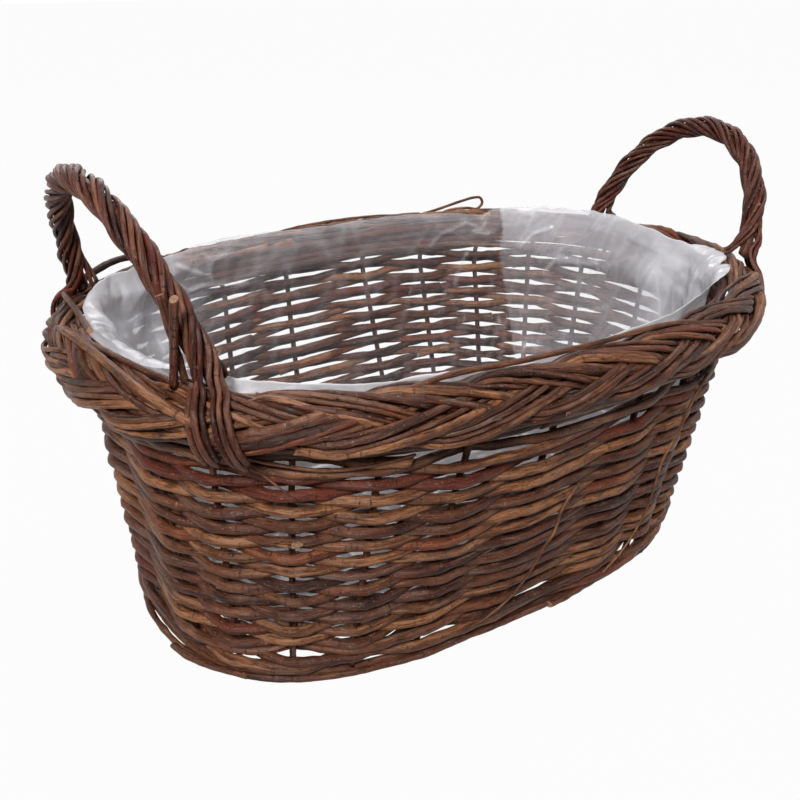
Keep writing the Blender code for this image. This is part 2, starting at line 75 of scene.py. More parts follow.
def nearness(distance: Any, reach: float) -> Any:
    """A share that falls evenly from 1 at no distance to 0 at this reach."""
    return np.clip(1 - distance / reach, 0, 1)


def bell(distance: Any, width: float) -> Any:
    """A bell curve: 1 at no distance, and the exponential of -1 at this width."""
    return np.exp(-((distance / width) ** 2))


def unit(vectors: np.ndarray) -> np.ndarray:
    """The vectors at a length of 1."""
    return vectors / np.maximum(np.linalg.norm(vectors, axis=-1, keepdims=True), 1e-12)


def along_of(points: np.ndarray) -> np.ndarray:
    """The distance along a path at each of its points, from its first one."""
    spans = np.linalg.norm(np.diff(points, axis=0), axis=1)
    return np.concatenate([[0.0], np.cumsum(spans)])


def between_points(places: np.ndarray, lengths: np.ndarray, points: np.ndarray) -> np.ndarray:
    """The path whose points lie at these lengths, at other places along it."""
    return np.column_stack([np.interp(places, lengths, points[:, axis]) for axis in range(3)])


def resampled(points: np.ndarray, spacing: float) -> np.ndarray:
    """The same path with points this far apart.

    Args:
        points: The path's points.
        spacing: The distance between the new ones.

    Returns:
        Points evenly spaced along it.
    """
    lengths = along_of(points)
    count = max(3, round(lengths[-1] / spacing) + 1)
    places = np.linspace(0.0, lengths[-1], count)
    return between_points(places, lengths, points)


def smooth_through(points: np.ndarray, spacing: float) -> np.ndarray:
    """A curve through a few points, as cubic pieces whose slope at a point is that of the chord past it.

    Args:
        points: The points to pass through, in order.
        spacing: The distance between the points of the result.

    Returns:
        The curve's points, evenly spaced along it.
    """
    knots = np.maximum.accumulate(along_of(points) + np.arange(len(points)) * 1e-9)
    slopes = np.gradient(points, knots, axis=0)
    fine = np.linspace(0.0, knots[-1], max(24, 6 * len(points), round(knots[-1] / (spacing / 2))))
    place = np.clip(np.searchsorted(knots, fine, side="right") - 1, 0, len(knots) - 2)
    span = (knots[place + 1] - knots[place])[:, None]
    t = (fine - knots[place])[:, None] / span
    start, end = points[place], points[place + 1]
    rise, fall = slopes[place] * span, slopes[place + 1] * span
    curve = (2 * t**3 - 3 * t**2 + 1) * start + (t**3 - 2 * t**2 + t) * rise
    curve = curve + (-2 * t**3 + 3 * t**2) * end + (t**3 - t**2) * fall
    return resampled(curve, spacing)


def ripple(rng: np.random.Generator, places: np.ndarray, wavelength: float, size: float) -> np.ndarray:
    """A smooth random wander: a sum of five sine waves round this wavelength, with this standard size.

    Args:
        rng: Where the waves' lengths and phases come from.
        places: Where it is worked out.
        wavelength: The waves' usual length, in the unit of the places.
        size: The wander's standard size.

    Returns:
        The wander at each place.
    """
    waves = wavelength * rng.uniform(0.6, 1.9, 5)
    phases = rng.uniform(0, 2 * math.pi, 5)
    total = np.sin(places[:, None] * 2 * math.pi / waves + phases).sum(axis=1)
    return total * size / math.sqrt(2.5)


@dataclass(frozen=True)
class Outline:
    """A horizontal superellipse; its sizes are numbers, or arrays with one for each point."""

    half_length: Any
    half_width: Any
    squareness: Any

    def normal(self, angle: np.ndarray) -> np.ndarray:
        """The unit outward normals: the gradient, signed powers of cosine and sine over the half sizes.

        Args:
            angle: Angles round the outline.

        Returns:
            One unit vector for each.
        """
        power = 2 - 2 / self.squareness
        cosine, sine = np.cos(angle), np.sin(angle)
        gradient_x = np.sign(cosine) * np.abs(cosine) ** power / self.half_length
        gradient_y = np.sign(sine) * np.abs(sine) ** power / self.half_width
        return unit(np.stack([gradient_x, gradient_y], axis=-1))

    def at(self, angle: np.ndarray, outward: Any = 0.0) -> np.ndarray:
        """The points: half sizes times signed powers of cosine and sine, moved along the normal.

        Args:
            angle: Angles round the outline.
            outward: How far outside it the points lie.

        Returns:
            One point in plan for each angle.
        """
        power = 2 / self.squareness
        cosine, sine = np.cos(angle), np.sin(angle)
        x = self.half_length * np.sign(cosine) * np.abs(cosine) ** power
        y = self.half_width * np.sign(sine) * np.abs(sine) ** power
        return np.stack([x, y], axis=-1) + self.normal(angle) * np.expand_dims(outward, -1)

    def x_at(self, y: float) -> float:
        """Half the outline's length at this distance from its long axis."""
        return self.half_length * (1 - (abs(y) / self.half_width) ** self.squareness) ** (1 / self.squareness)

    def y_at(self, x: float) -> float:
        """Half the outline's width at this distance from its short axis."""
        return self.half_width * (1 - (abs(x) / self.half_length) ** self.squareness) ** (1 / self.squareness)

    def steps(self) -> tuple[np.ndarray, np.ndarray]:
        """A fine table of angles, and the distance from each to the next."""
        table = np.linspace(-math.pi, math.pi, 2881)
        return table, np.linalg.norm(np.diff(self.at(table), axis=0), axis=1)

    def length(self) -> float:
        """The outline's perimeter."""
        return float(self.steps()[1].sum())

    def angles(self, share: np.ndarray) -> np.ndarray:
        """The angles at these shares of the perimeter, from the -X end towards -Y.

        Args:
            share: Shares of the perimeter, which may pass 1.

        Returns:
            Angles that pass a full turn where the shares pass 1.
        """
        table, steps = self.steps()
        shares = np.concatenate([[0.0], np.cumsum(steps)]) / steps.sum()
        rounds = np.floor(share)
        return np.interp(share - rounds, shares, table) + rounds * 2 * math.pi


@dataclass(frozen=True)
class BasketForm:
    """The sizes that all pieces share, in metres: the wall's foot and rim, and the border's line."""

    middle_x: float = -0.00478
    foot: Outline = Outline(0.1725, 0.1030, 2.9)
    rim: Outline = Outline(0.1900, 0.1375, 2.4)
    wall_height: float = 0.14196
    wall_depth: float = 0.0063
    border: Outline = Outline(0.1946, 0.1361, 2.4)
    border_height: float = 0.15796
    border_clear: float = 0.0118
    border_hollow: float = 0.0096 * 6 / 7 - 0.00165
    plait_reach: float = 0.01665
    ease_height: float = 0.024
    far_degrees: tuple[float, float] = (-8.0, 155.0)
    far_fades: tuple[float, float] = (22.0, 20.0)
    far_slimmer: float = 0.20
    far_higher: float = 0.0012
    stake_count: int = 23
    stake_phase: float = math.radians(-94.1)
    stake_spread: float = math.radians(4.0)

    def place(self, points: np.ndarray) -> np.ndarray:
        """Points from the basket's own middle to the shared frame."""
        return points + np.array([self.middle_x, 0.0, 0.0])

    def wall(self, angle: np.ndarray, height: Any, outward: Any = 0.0) -> np.ndarray:
        """Points of the leaning surface that the stakes stand in.

        Its outline goes evenly with the height from the foot's to the rim's.

        Args:
            angle: Places round the basket, as the outline's angles.
            height: Heights above the floor.
            outward: How far outside that surface.

        Returns:
            One point for each angle.
        """
        share = np.asarray(height) / self.wall_height
        level = Outline(
            mix(self.foot.half_length, self.rim.half_length, share) - self.wall_depth,
            mix(self.foot.half_width, self.rim.half_width, share) - self.wall_depth,
            mix(self.foot.squareness, self.rim.squareness, share),
        )
        flat = level.at(angle, outward)
        return np.column_stack([flat, np.broadcast_to(height, len(flat))])

    def inside(self, angle: np.ndarray, height: np.ndarray, inward: Any) -> np.ndarray:
        """Points beside the wall's inner face, which eases into the border's inner face above it.

        Args:
            angle: Places round the basket, as the outline's angles.
            height: Heights above the floor.
            inward: How far in from that face.

        Returns:
            One point for each angle.
        """
        low = self.wall(angle, np.minimum(height, self.wall_height), -self.wall_depth - inward)
        high = self.border.at(angle, -self.border_clear - inward)
        share = eased((height - self.wall_height) / self.ease_height)[:, None]
        return np.column_stack([mix(low[:, :2], high, share), height])

    def far(self, angle: np.ndarray) -> np.ndarray:
        """How much of the far side's slimmer border there is at these angles, from 0 to 1."""
        degrees = (np.degrees(angle) + 90) % 360 - 90
        rise = (degrees - self.far_degrees[0]) / self.far_fades[0]
        return eased(np.minimum(rise, (self.far_degrees[1] - degrees) / self.far_fades[1]))

    def around_border(self, angle: np.ndarray, radius: Any, turn: np.ndarray) -> np.ndarray:
        """Points at this radius and turn round the border's line: a turn of 0 is outward, 90 degrees up.

        Args:
            angle: Places round the basket, as the outline's angles.
            radius: Distances from the border's line.
            turn: Turns round that line, in radians.

        Returns:
            One point for each angle.
        """
        far = self.far(angle)
        slim = radius * (1 - self.far_slimmer * far)
        flat = self.border.at(angle, slim * np.cos(turn))
        return np.column_stack([flat, self.border_height + self.far_higher * far + slim * np.sin(turn)])

    def stake_angle(self, index: Any) -> np.ndarray:
        """Where stakes stand, closer together on the long sides than round the ends."""
        angle = self.stake_phase + 2 * math.pi * np.asarray(index, float) / self.stake_count
        return angle + self.stake_spread * np.sin(2 * angle)

    def frame_at(self, angle: np.ndarray) -> tuple[np.ndarray, np.ndarray, np.ndarray]:
        """The border line's point at one angle, and its outward and lengthwise directions."""
        out = np.append(self.border.normal(angle)[0], 0.0)
        middle = np.append(self.border.at(angle)[0], self.border_height)
        return middle, out, np.array([-out[1], out[0], 0.0])

    def frame_near(self, place: np.ndarray) -> tuple[np.ndarray, np.ndarray, np.ndarray]:
        """The same at the point of the border's line that is nearest to a place in plan."""
        angles, _ = self.border.steps()
        gaps = np.linalg.norm(self.border.at(angles) - place[:2], axis=1)
        return self.frame_at(angles[[np.argmin(gaps)]])

    def seat(self, aside: float) -> float:
        """The height at which a rod this far beside the border's line stands on the plait."""
        return self.border_height + math.sqrt(max(self.plait_reach**2 - aside**2, 0)) + 2 * CLEARANCE


FORM = BasketForm()


class Socket:
    """One value in a material's node tree; sums, products and comparisons of it add Math nodes."""

    def __init__(self, shader: "Shader", socket: Any) -> None:
        """Wraps a node's output socket."""
        self.shader = shader
        self.socket = socket

    def _math(self, operation: str, *others: Any) -> "Socket":
        """A Math node of this operation on the value and the others."""
        return self.shader.node("ShaderNodeMath", {"operation": operation}, {
            number: value for number, value in enumerate((self, *others))
        })

    def __add__(self, other: Any) -> "Socket":
        """Sum."""
        return self._math("ADD", other)

    def __radd__(self, other: Any) -> "Socket":
        """Sum with a number first."""
        return self._math("ADD", other)

    def __sub__(self, other: Any) -> "Socket":
        """Difference."""
        return self._math("SUBTRACT", other)

    def __rsub__(self, other: Any) -> "Socket":
        """A number less the value."""
        return self.shader.node("ShaderNodeMath", {"operation": "SUBTRACT"}, {0: other, 1: self})

    def __mul__(self, other: Any) -> "Socket":
        """Product."""
        return self._math("MULTIPLY", other)

    def __rmul__(self, other: Any) -> "Socket":
        """Product with a number first."""
        return self._math("MULTIPLY", other)

    def clamped(self) -> "Socket":
        """The value kept from 0 to 1."""
        return self.shader.node("ShaderNodeClamp", {}, {0: self})

    def between(self, low: float, high: float) -> "Socket":
        """A smooth rise from 0 at low to 1 at high."""
        inputs = {0: self, 1: low, 2: high, 3: 0.0, 4: 1.0}
        return self.shader.node("ShaderNodeMapRange", {"interpolation_type": "SMOOTHSTEP"}, inputs)


class Shader:
    """A material's node tree, and one method that adds any node to it."""

    def __init__(self, name: str) -> None:
        """Makes an empty material of this name with an output node.

        Args:
            name: The material's name.
        """
        self.material = bpy.data.materials.new(name)
        self.material.use_nodes = True
        self.tree = self.material.node_tree
        self.tree.nodes.clear()
        self.output = self.tree.nodes.new("ShaderNodeOutputMaterial")

    def node(self, kind: str, settings: dict[str, Any], inputs: dict[Any, Any], out: Any = 0) -> Socket:
        """Adds a node.

        Args:
            kind: The node's type.
            settings: Its properties, set first. A ramp's stops are pairs of place and colour.
            inputs: Values or links of its sockets, by name or number.
            out: The output to return, by name or number.

        Returns:
            The output, wrapped.
        """
        made = self.tree.nodes.new(kind)
        for name, value in settings.items():
            if name == "stops":
                self._stops(made.color_ramp, value)
            else:
                setattr(made, name, value)
        for name, value in inputs.items():
            if isinstance(value, Socket):
                self.tree.links.new(value.socket, made.inputs[name])
            else:
                made.inputs[name].default_value = value
        return Socket(self, made.outputs[out])

    def _stops(self, ramp: Any, stops: Sequence[tuple[float, Colour]]) -> None:
        """Sets a colour ramp's stops.

        Args:
            ramp: The ramp.
            stops: Pairs of place and colour.
        """
        while len(ramp.elements) > 1:
            ramp.elements.remove(ramp.elements[-1])
        for number, (place, colour) in enumerate(stops):
            element = ramp.elements[0] if number == 0 else ramp.elements.new(place)
            element.position = place
            element.color = (*colour, 1.0)

    def attribute(self, name: str, out: str = "Fac") -> Socket:
        """A mesh attribute, as a number or with out Vector as a vector."""
        return self.node("ShaderNodeAttribute", {"attribute_name": name}, {}, out)

    def scaled(self, vector: Socket, scale: Sequence[float]) -> Socket:
        """A vector times three numbers."""
        return self.node("ShaderNodeVectorMath", {"operation": "MULTIPLY"}, {0: vector, 1: tuple(scale)})

    def noise(
        self,
        vector: Socket,
        scale: float | Sequence[float],
        detail: float = 2.0,
        roughness: float = 0.5,
    ) -> Socket:
        """Noise from 0 to 1 over a vector, with one scale or one for each axis, in waves per metre.

        Args:
            vector: Where it is looked up.
            scale: Waves per metre.
            detail: How many finer layers it has.
            roughness: How strong these are.

        Returns:
            The noise.
        """
        if not isinstance(scale, (int, float)):
            vector = self.scaled(vector, scale)
            scale = 1.0
        inputs = {"Vector": vector, "Scale": scale, "Detail": detail, "Roughness": roughness}
        return self.node("ShaderNodeTexNoise", {}, inputs, "Fac")

    def ramp(self, place: Socket, stops: Sequence[tuple[float, Colour]], kind: str = "LINEAR") -> Socket:
        """A colour looked up in a row of stops."""
        made = self.node("ShaderNodeValToRGB", {"stops": stops}, {0: place})
        made.socket.node.color_ramp.interpolation = kind
        return made

    def blend(self, share: Any, low: Any, high: Any, kind: str = "MIX") -> Socket:
        """Two colours mixed by a share."""
        colours = [(*c, 1.0) if isinstance(c, tuple) and len(c) == 3 else c for c in (low, high)]
        settings = {"data_type": "RGBA", "blend_type": kind}
        return self.node("ShaderNodeMix", settings, {0: share, 6: colours[0], 7: colours[1]}, 2)

    def bump(self, height: Socket, distance: float, strength: float = 1.0) -> Socket:
        """A bumped normal; the height is in units of the distance."""
        inputs = {"Height": height, "Distance": distance, "Strength": strength}
        return self.node("ShaderNodeBump", {}, inputs, "Normal")

    def surface(self, **inputs: Any) -> bpy.types.Material:
        """Ends the material with a Principled shader of these inputs, named with underscores."""
        named = {name.replace("_", " "): value for name, value in inputs.items()}
        shader = self.node("ShaderNodeBsdfPrincipled", {}, named, "BSDF")
        self.tree.links.new(shader.socket, self.output.inputs["Surface"])
        return self.material


@dataclass(frozen=True)
class Bark:
    """Unpeeled willow. Each rod has its own place in the row of tones, and grain runs along it."""

    name: str
    tones: tuple[Colour, ...]
    redness: Colour
    roughness: float = 0.44
    gloss: float = 0.18
    relief: float = 0.0008
    grey_bloom: Colour = (0.150, 0.096, 0.078)
    pale_scar: Colour = (0.330, 0.200, 0.118)
    grime: Colour = (0.009, 0.004, 0.003)

    def material(self) -> bpy.types.Material:
        """Bark over the mesh's straightened rods, where X runs along the rod.

        Blotches and streaks pick a place in the row of tones. Over it come reddish young bark, grey bloom on
        old rods, dark grime in the grain and pale scars.
        """
        shader = Shader(self.name)
        rod = shader.attribute("straight", "Vector")
        tone = shader.attribute("tone")
        age = shader.attribute("age")
        young = age.between(0.045, 0.020)
        patches = shader.noise(rod, (24, 110, 110))
        blotches = shader.noise(rod, (95, 260, 260), 3, 0.6)
        streaks = shader.noise(rod, (30, 620, 620), 3, 0.62)
        fibres = shader.noise(rod, (150, 2600, 2600), 2, 0.65)
        rings = shader.noise(rod, (520, 120, 120), 2, 0.6)
        specks = shader.noise(rod, (900, 1500, 1500), 1)
        count = len(self.tones)
        stops = [(number / (count - 1), colour) for number, colour in enumerate(self.tones)]
        place = (tone + (patches - 0.5) * 1.20 + (streaks - 0.5) * 1.50 + (blotches - 0.5) * 0.90).clamped()
        colour = shader.ramp(place, stops)
        red = (patches.between(0.55, 0.70) * 0.5 * blotches.between(0.35, 0.6) + young * 0.55).clamped()
        colour = shader.blend(red, colour, self.redness)
        bloom = (streaks.between(0.46, 0.68) * blotches.between(0.36, 0.58) * (0.08 + 1.0 * age)).clamped()
        colour = shader.blend(bloom, colour, self.grey_bloom)
        worn = streaks.between(0.47, 0.30) * 0.45 + blotches.between(0.45, 0.30) * 0.35
        dark = (fibres.between(0.52, 0.36) * 0.60 + rings.between(0.40, 0.27) * 0.55 + worn).clamped()
        colour = shader.blend(dark, colour, self.grime)
        pale = specks.between(0.67, 0.74) * 0.55
        pale = pale + rings.between(0.66, 0.73) * streaks.between(0.45, 0.6) * 0.6
        pale = pale + fibres.between(0.60, 0.72) * blotches.between(0.45, 0.65) * 0.45
        colour = shader.blend(pale.clamped(), colour, self.pale_scar)
        height = streaks * 0.8 + fibres * 0.40 + rings.between(0.27, 0.42) * 0.3 + blotches * 0.5
        return shader.surface(
            Base_Color=colour,
            Roughness=(self.roughness + (fibres - 0.5) * 0.5 + (blotches - 0.5) * 0.5).clamped(),
            Normal=shader.bump(height, self.relief),
            Specular_IOR_Level=self.gloss,
        )


@dataclass(frozen=True)
class CutWood:
    """The pale end of a cut rod, with a darker speckle."""

    name: str = "cut_willow"
    wood: Colour = (0.300, 0.165, 0.085)
    old: Colour = (0.120, 0.060, 0.034)

    def material(self) -> bpy.types.Material:
        """Pale wood with a fine speckle."""
        shader = Shader(self.name)
        rod = shader.attribute("straight", "Vector")
        speckle = shader.noise(rod, 1800)
        colour = shader.blend(speckle.between(0.35, 0.7), self.wood, self.old)
        return shader.surface(Base_Color=colour, Roughness=0.75, Normal=shader.bump(speckle, 0.0002))


@dataclass(frozen=True)
class Film:
    """Thin polythene: clear where it is smooth, milky at creases and where it lies double, with a painted
    sheen round the -X end and painted highlights along some wrinkles.
    """

    name: str = "clear_film"
    tint: Colour = (0.90, 0.89, 0.94)
    shade: Colour = (0.76, 0.755, 0.80)
    roughness: float = 0.22

    def material(self) -> bpy.types.Material:
        """Film as white as the mesh's milk attribute says, with soft clouds, smoky veils and fine creases."""
        shader = Shader(self.name)
        milk = shader.attribute("milk")
        crease = shader.attribute("crease")
        place = shader.node("ShaderNodeTexCoord", {}, {}, "Object")
        clouds = shader.noise(place, 42, 3, 0.55)
        smoke = shader.noise(place, (22, 22, 75), 5, 0.62)
        fine = shader.noise(place, 230, 3, 0.6)
        veil = smoke.between(0.48, 0.68) * (1 - milk) * 0.09
        white = milk * (0.50 + 0.60 * clouds + 0.40 * smoke)
        alpha = (white + veil * milk.between(0.04, 0.12) + crease * 0.03).clamped()
        colour = shader.blend(clouds.between(0.35, 0.7), self.tint, self.shade)
        return shader.surface(
            Base_Color=colour,
            Roughness=self.roughness,
            Alpha=alpha,
            Normal=shader.bump(fine * 0.5 + clouds, 0.0010, 0.4),
            Specular_IOR_Level=0.5,
            Subsurface_Weight=0.35,
            Subsurface_Radius=(1.0, 1.0, 1.0),
            Subsurface_Scale=0.004,
        )


BROWN_BARK = Bark(
    "brown_bark",
    (
        (0.027, 0.008, 0.004), (0.054, 0.014, 0.007), (0.085, 0.024, 0.010), (0.063, 0.022, 0.012),
        (0.120, 0.036, 0.015), (0.086, 0.034, 0.017), (0.154, 0.047, 0.016), (0.103, 0.048, 0.024),
        (0.222, 0.075, 0.025), (0.296, 0.131, 0.058),
    ),
    (0.128, 0.021, 0.009),
)
RED_BARK = Bark(
    "red_bark",
    (
        (0.032, 0.008, 0.005), (0.064, 0.015, 0.009), (0.106, 0.023, 0.011), (0.075, 0.024, 0.015),
        (0.128, 0.032, 0.015), (0.115, 0.048, 0.026), (0.186, 0.061, 0.028),
    ),
    (0.126, 0.017, 0.009),
    roughness=0.38,
)


class Finish(Enum):
    """The basket's finishes."""

    BROWN = "brown_willow"
    RED = "red_willow"
    FILM = "film"


@dataclass
class Rod:
    """One willow rod: its path, thickness and bark."""

    path: np.ndarray
    radius: np.ndarray
    facing: np.ndarray
    tone: float
    age: float


class RodMesh:
    """Rods swept into one closed mesh, with each rod's straightened place kept for its bark."""

    knot_gap = (0.022, 0.060)
    knot_size = (0.05, 0.24)
    knot_width = (0.0012, 0.0026)
    lump_spacing = 0.012
    lump_size = 0.040
    most_oval = 0.07
    longest_shift = 40.0

    def __init__(self, name: str, finish: Finish, seed: int, sides: int = 10) -> None:
        """Starts an empty piece of this name, whose rods have this many sides.

        Args:
            name: The piece's name.
            finish: The piece's finish; not used.
            seed: What its random draws start from.
            sides: How many sides a rod's section has.
        """
        self.name = name
        self.finish = finish
        self.rng = np.random.default_rng(seed)
        self.sides = sides
        self.vertices: list[np.ndarray] = []
        self.straight: list[np.ndarray] = []
        self.tone: list[np.ndarray] = []
        self.age: list[np.ndarray] = []
        self.quads: list[np.ndarray] = []
        self.caps: list[np.ndarray] = []
        self.count = 0

    def knots(self, lengths: np.ndarray) -> np.ndarray:
        """Swellings where leaves grew: bell curves every few centimetres, each on one side of the rod.

        Args:
            lengths: Distances along the rod, one for each ring.

        Returns:
            A share to add to the radius, for each ring and side.
        """
        theta = np.arange(self.sides) * 2 * math.pi / self.sides
        total = np.zeros((len(lengths), self.sides))
        places = np.cumsum(self.rng.uniform(*self.knot_gap, 2 + int(lengths[-1] / 0.03)))
        sizes = self.rng.uniform(*self.knot_size, len(places))
        widths = self.rng.uniform(*self.knot_width, len(places))
        for place, size, width in zip(places, sizes, widths):
            if place > lengths[-1]:
                break
            side = 0.35 + 0.65 * np.clip(np.cos(theta - self.rng.uniform(0, 2 * math.pi)), 0, 1)
            total += size * bell(lengths - place, width)[:, None] * side
        return total

    def add(self, rod: Rod, slant: float = 0.5, cut_turn: float | None = None) -> None:
        """Sweeps a rod: a lumpy round section carried along its path, with a slanted cut at each end.

        Args:
            rod: The rod. Its facing is a direction, or one for each point, across the path.
            slant: How far the end cuts lean, as a share of the radius.
            cut_turn: Which side of the rod the end cuts look away from, or any side if it isn't given.
        """
        lengths = along_of(rod.path)
        forward = unit(np.gradient(rod.path, axis=0))
        across = unit(np.cross(forward, rod.facing))
        upward = np.cross(across, forward)
        theta = np.arange(self.sides) * 2 * math.pi / self.sides
        lumps = 1 + self.knots(lengths)
        lumps = lumps * (1 + ripple(self.rng, lengths, self.lump_spacing, self.lump_size))[:, None]
        oval = self.rng.uniform(0.0, self.most_oval)
        lumps = lumps * (1 + oval * np.cos(2 * theta + self.rng.uniform(0, ANY_TURN)))[None, :]
        radius = rod.radius[:, None] * lumps
        cosine, sine = np.cos(theta)[None, :, None], np.sin(theta)[None, :, None]
        spokes = upward[:, None, :] * cosine + across[:, None, :] * sine
        points = rod.path[:, None, :] + spokes * radius[:, :, None]
        lean = slant * np.cos(theta - (self.rng.uniform(0, ANY_TURN) if cut_turn is None else cut_turn))
        for end in (0, -1):
            points[end] += forward[end] * (lean * rod.radius[end])[:, None]
        flat = np.empty_like(points)
        flat[:, :, 0] = lengths[:, None] + self.rng.uniform(0, self.longest_shift)
        flat[:, :, 1] = np.cos(theta) * radius
        flat[:, :, 2] = np.sin(theta) * radius
        rings = len(rod.path)
        grid = self.count + np.arange(rings * self.sides).reshape(rings, self.sides)
        after = np.roll(grid, -1, axis=1)
        self.quads.append(np.stack([grid[:-1], grid[1:], after[1:], after[:-1]], axis=-1).reshape(-1, 4))
        self.caps.append(np.stack([grid[0], grid[-1][::-1]]))
        self.vertices.append(points.reshape(-1, 3))
        self.straight.append(flat.reshape(-1, 3))
        self.tone.append(np.full(rings * self.sides, rod.tone))
        self.age.append(np.full(rings * self.sides, rod.age))
        self.count += rings * self.sides

    def build(self, materials: Sequence[bpy.types.Material], replaces: Sequence[str] = ()) -> None:
        """Writes the mesh, dresses it and lays it over the nodes that it stands for.

        Args:
            materials: The bark, and the wood of the cut ends.
            replaces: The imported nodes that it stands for.
        """
        mesh = bpy.data.meshes.new(self.name)
        vertices = FORM.place(np.vstack(self.vertices))
        vertices[:, 2] = np.maximum(vertices[:, 2], 0.0)
        quads, caps = np.vstack(self.quads), np.vstack(self.caps)
        mesh.vertices.add(len(vertices))
        mesh.vertices.foreach_set("co", vertices.ravel())
        loops = np.concatenate([quads.ravel(), caps.ravel()])
        mesh.loops.add(len(loops))
        mesh.loops.foreach_set("vertex_index", loops.astype(np.int32))
        starts = np.concatenate([np.arange(len(quads)) * 4, quads.size + np.arange(len(caps)) * self.sides])
        mesh.polygons.add(len(starts))
        mesh.polygons.foreach_set("loop_start", starts.astype(np.int32))
        is_cap = np.arange(len(starts)) >= len(quads)
        mesh.polygons.foreach_set("material_index", is_cap.astype(np.int32))
        mesh.polygons.foreach_set("use_smooth", ~is_cap)
        mesh.update(calc_edges=True)
        for name, parts in (("straight", self.straight), ("tone", self.tone), ("age", self.age)):
            write_attribute(mesh, name, np.concatenate(parts))
        for material in materials:
            mesh.materials.append(material)
        finish_piece(self.name, mesh, replaces)


def write_attribute(mesh: bpy.types.Mesh, name: str, values: np.ndarray) -> None:
    """Stores a number or a vector for each vertex.

    Args:
        mesh: The mesh.
        name: The attribute's name.
        values: One number, or three, for each vertex.
    """
    if values.ndim == 1:
        mesh.attributes.new(name, "FLOAT", "POINT").data.foreach_set("value", values.astype(np.float32))
    else:
        data = mesh.attributes.new(name, "FLOAT_VECTOR", "POINT").data
        data.foreach_set("vector", values.astype(np.float32).ravel())


def linked(name: str, data: Any) -> bpy.types.Object:
    """A new object of this data, in the scene."""
    made = bpy.data.objects.new(name, data)
    bpy.context.scene.collection.objects.link(made)
    return made


def aimed(made: bpy.types.Object, location: Vector, back: Vector) -> None:
    """Puts a camera or a lamp here, with its back in this direction."""
    made.location = location
    made.rotation_mode = "QUATERNION"
    made.rotation_quaternion = back.to_track_quat("Z", "Y")


def finish_piece(
    name: str, mesh: bpy.types.Mesh, replaces: Sequence[str],
) -> bpy.types.Object:
    """Links a mesh as a piece that rides on the basket and stands for these nodes.

    Args:
        name: The piece's name.
        mesh: Its mesh.
        replaces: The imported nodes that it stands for.

    Returns:
        The piece.
    """
    piece = linked(name, mesh)
    if replaces:
        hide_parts(*replaces)
    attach(piece, "root")
    LOG.info("%s: %d faces", name, len(mesh.polygons))
    return piece


@dataclass
class Palette:
    """Draws a tone and an age for each new rod."""

    rng: np.random.Generator
    low: float = 0.0
    high: float = 1.0
    youth: float = 1.6

    def draw(self) -> tuple[float, float]:
        """A tone between low and high, and an age that is mostly young."""
        return self.rng.uniform(self.low, self.high), self.rng.uniform(0, 1) ** self.youth


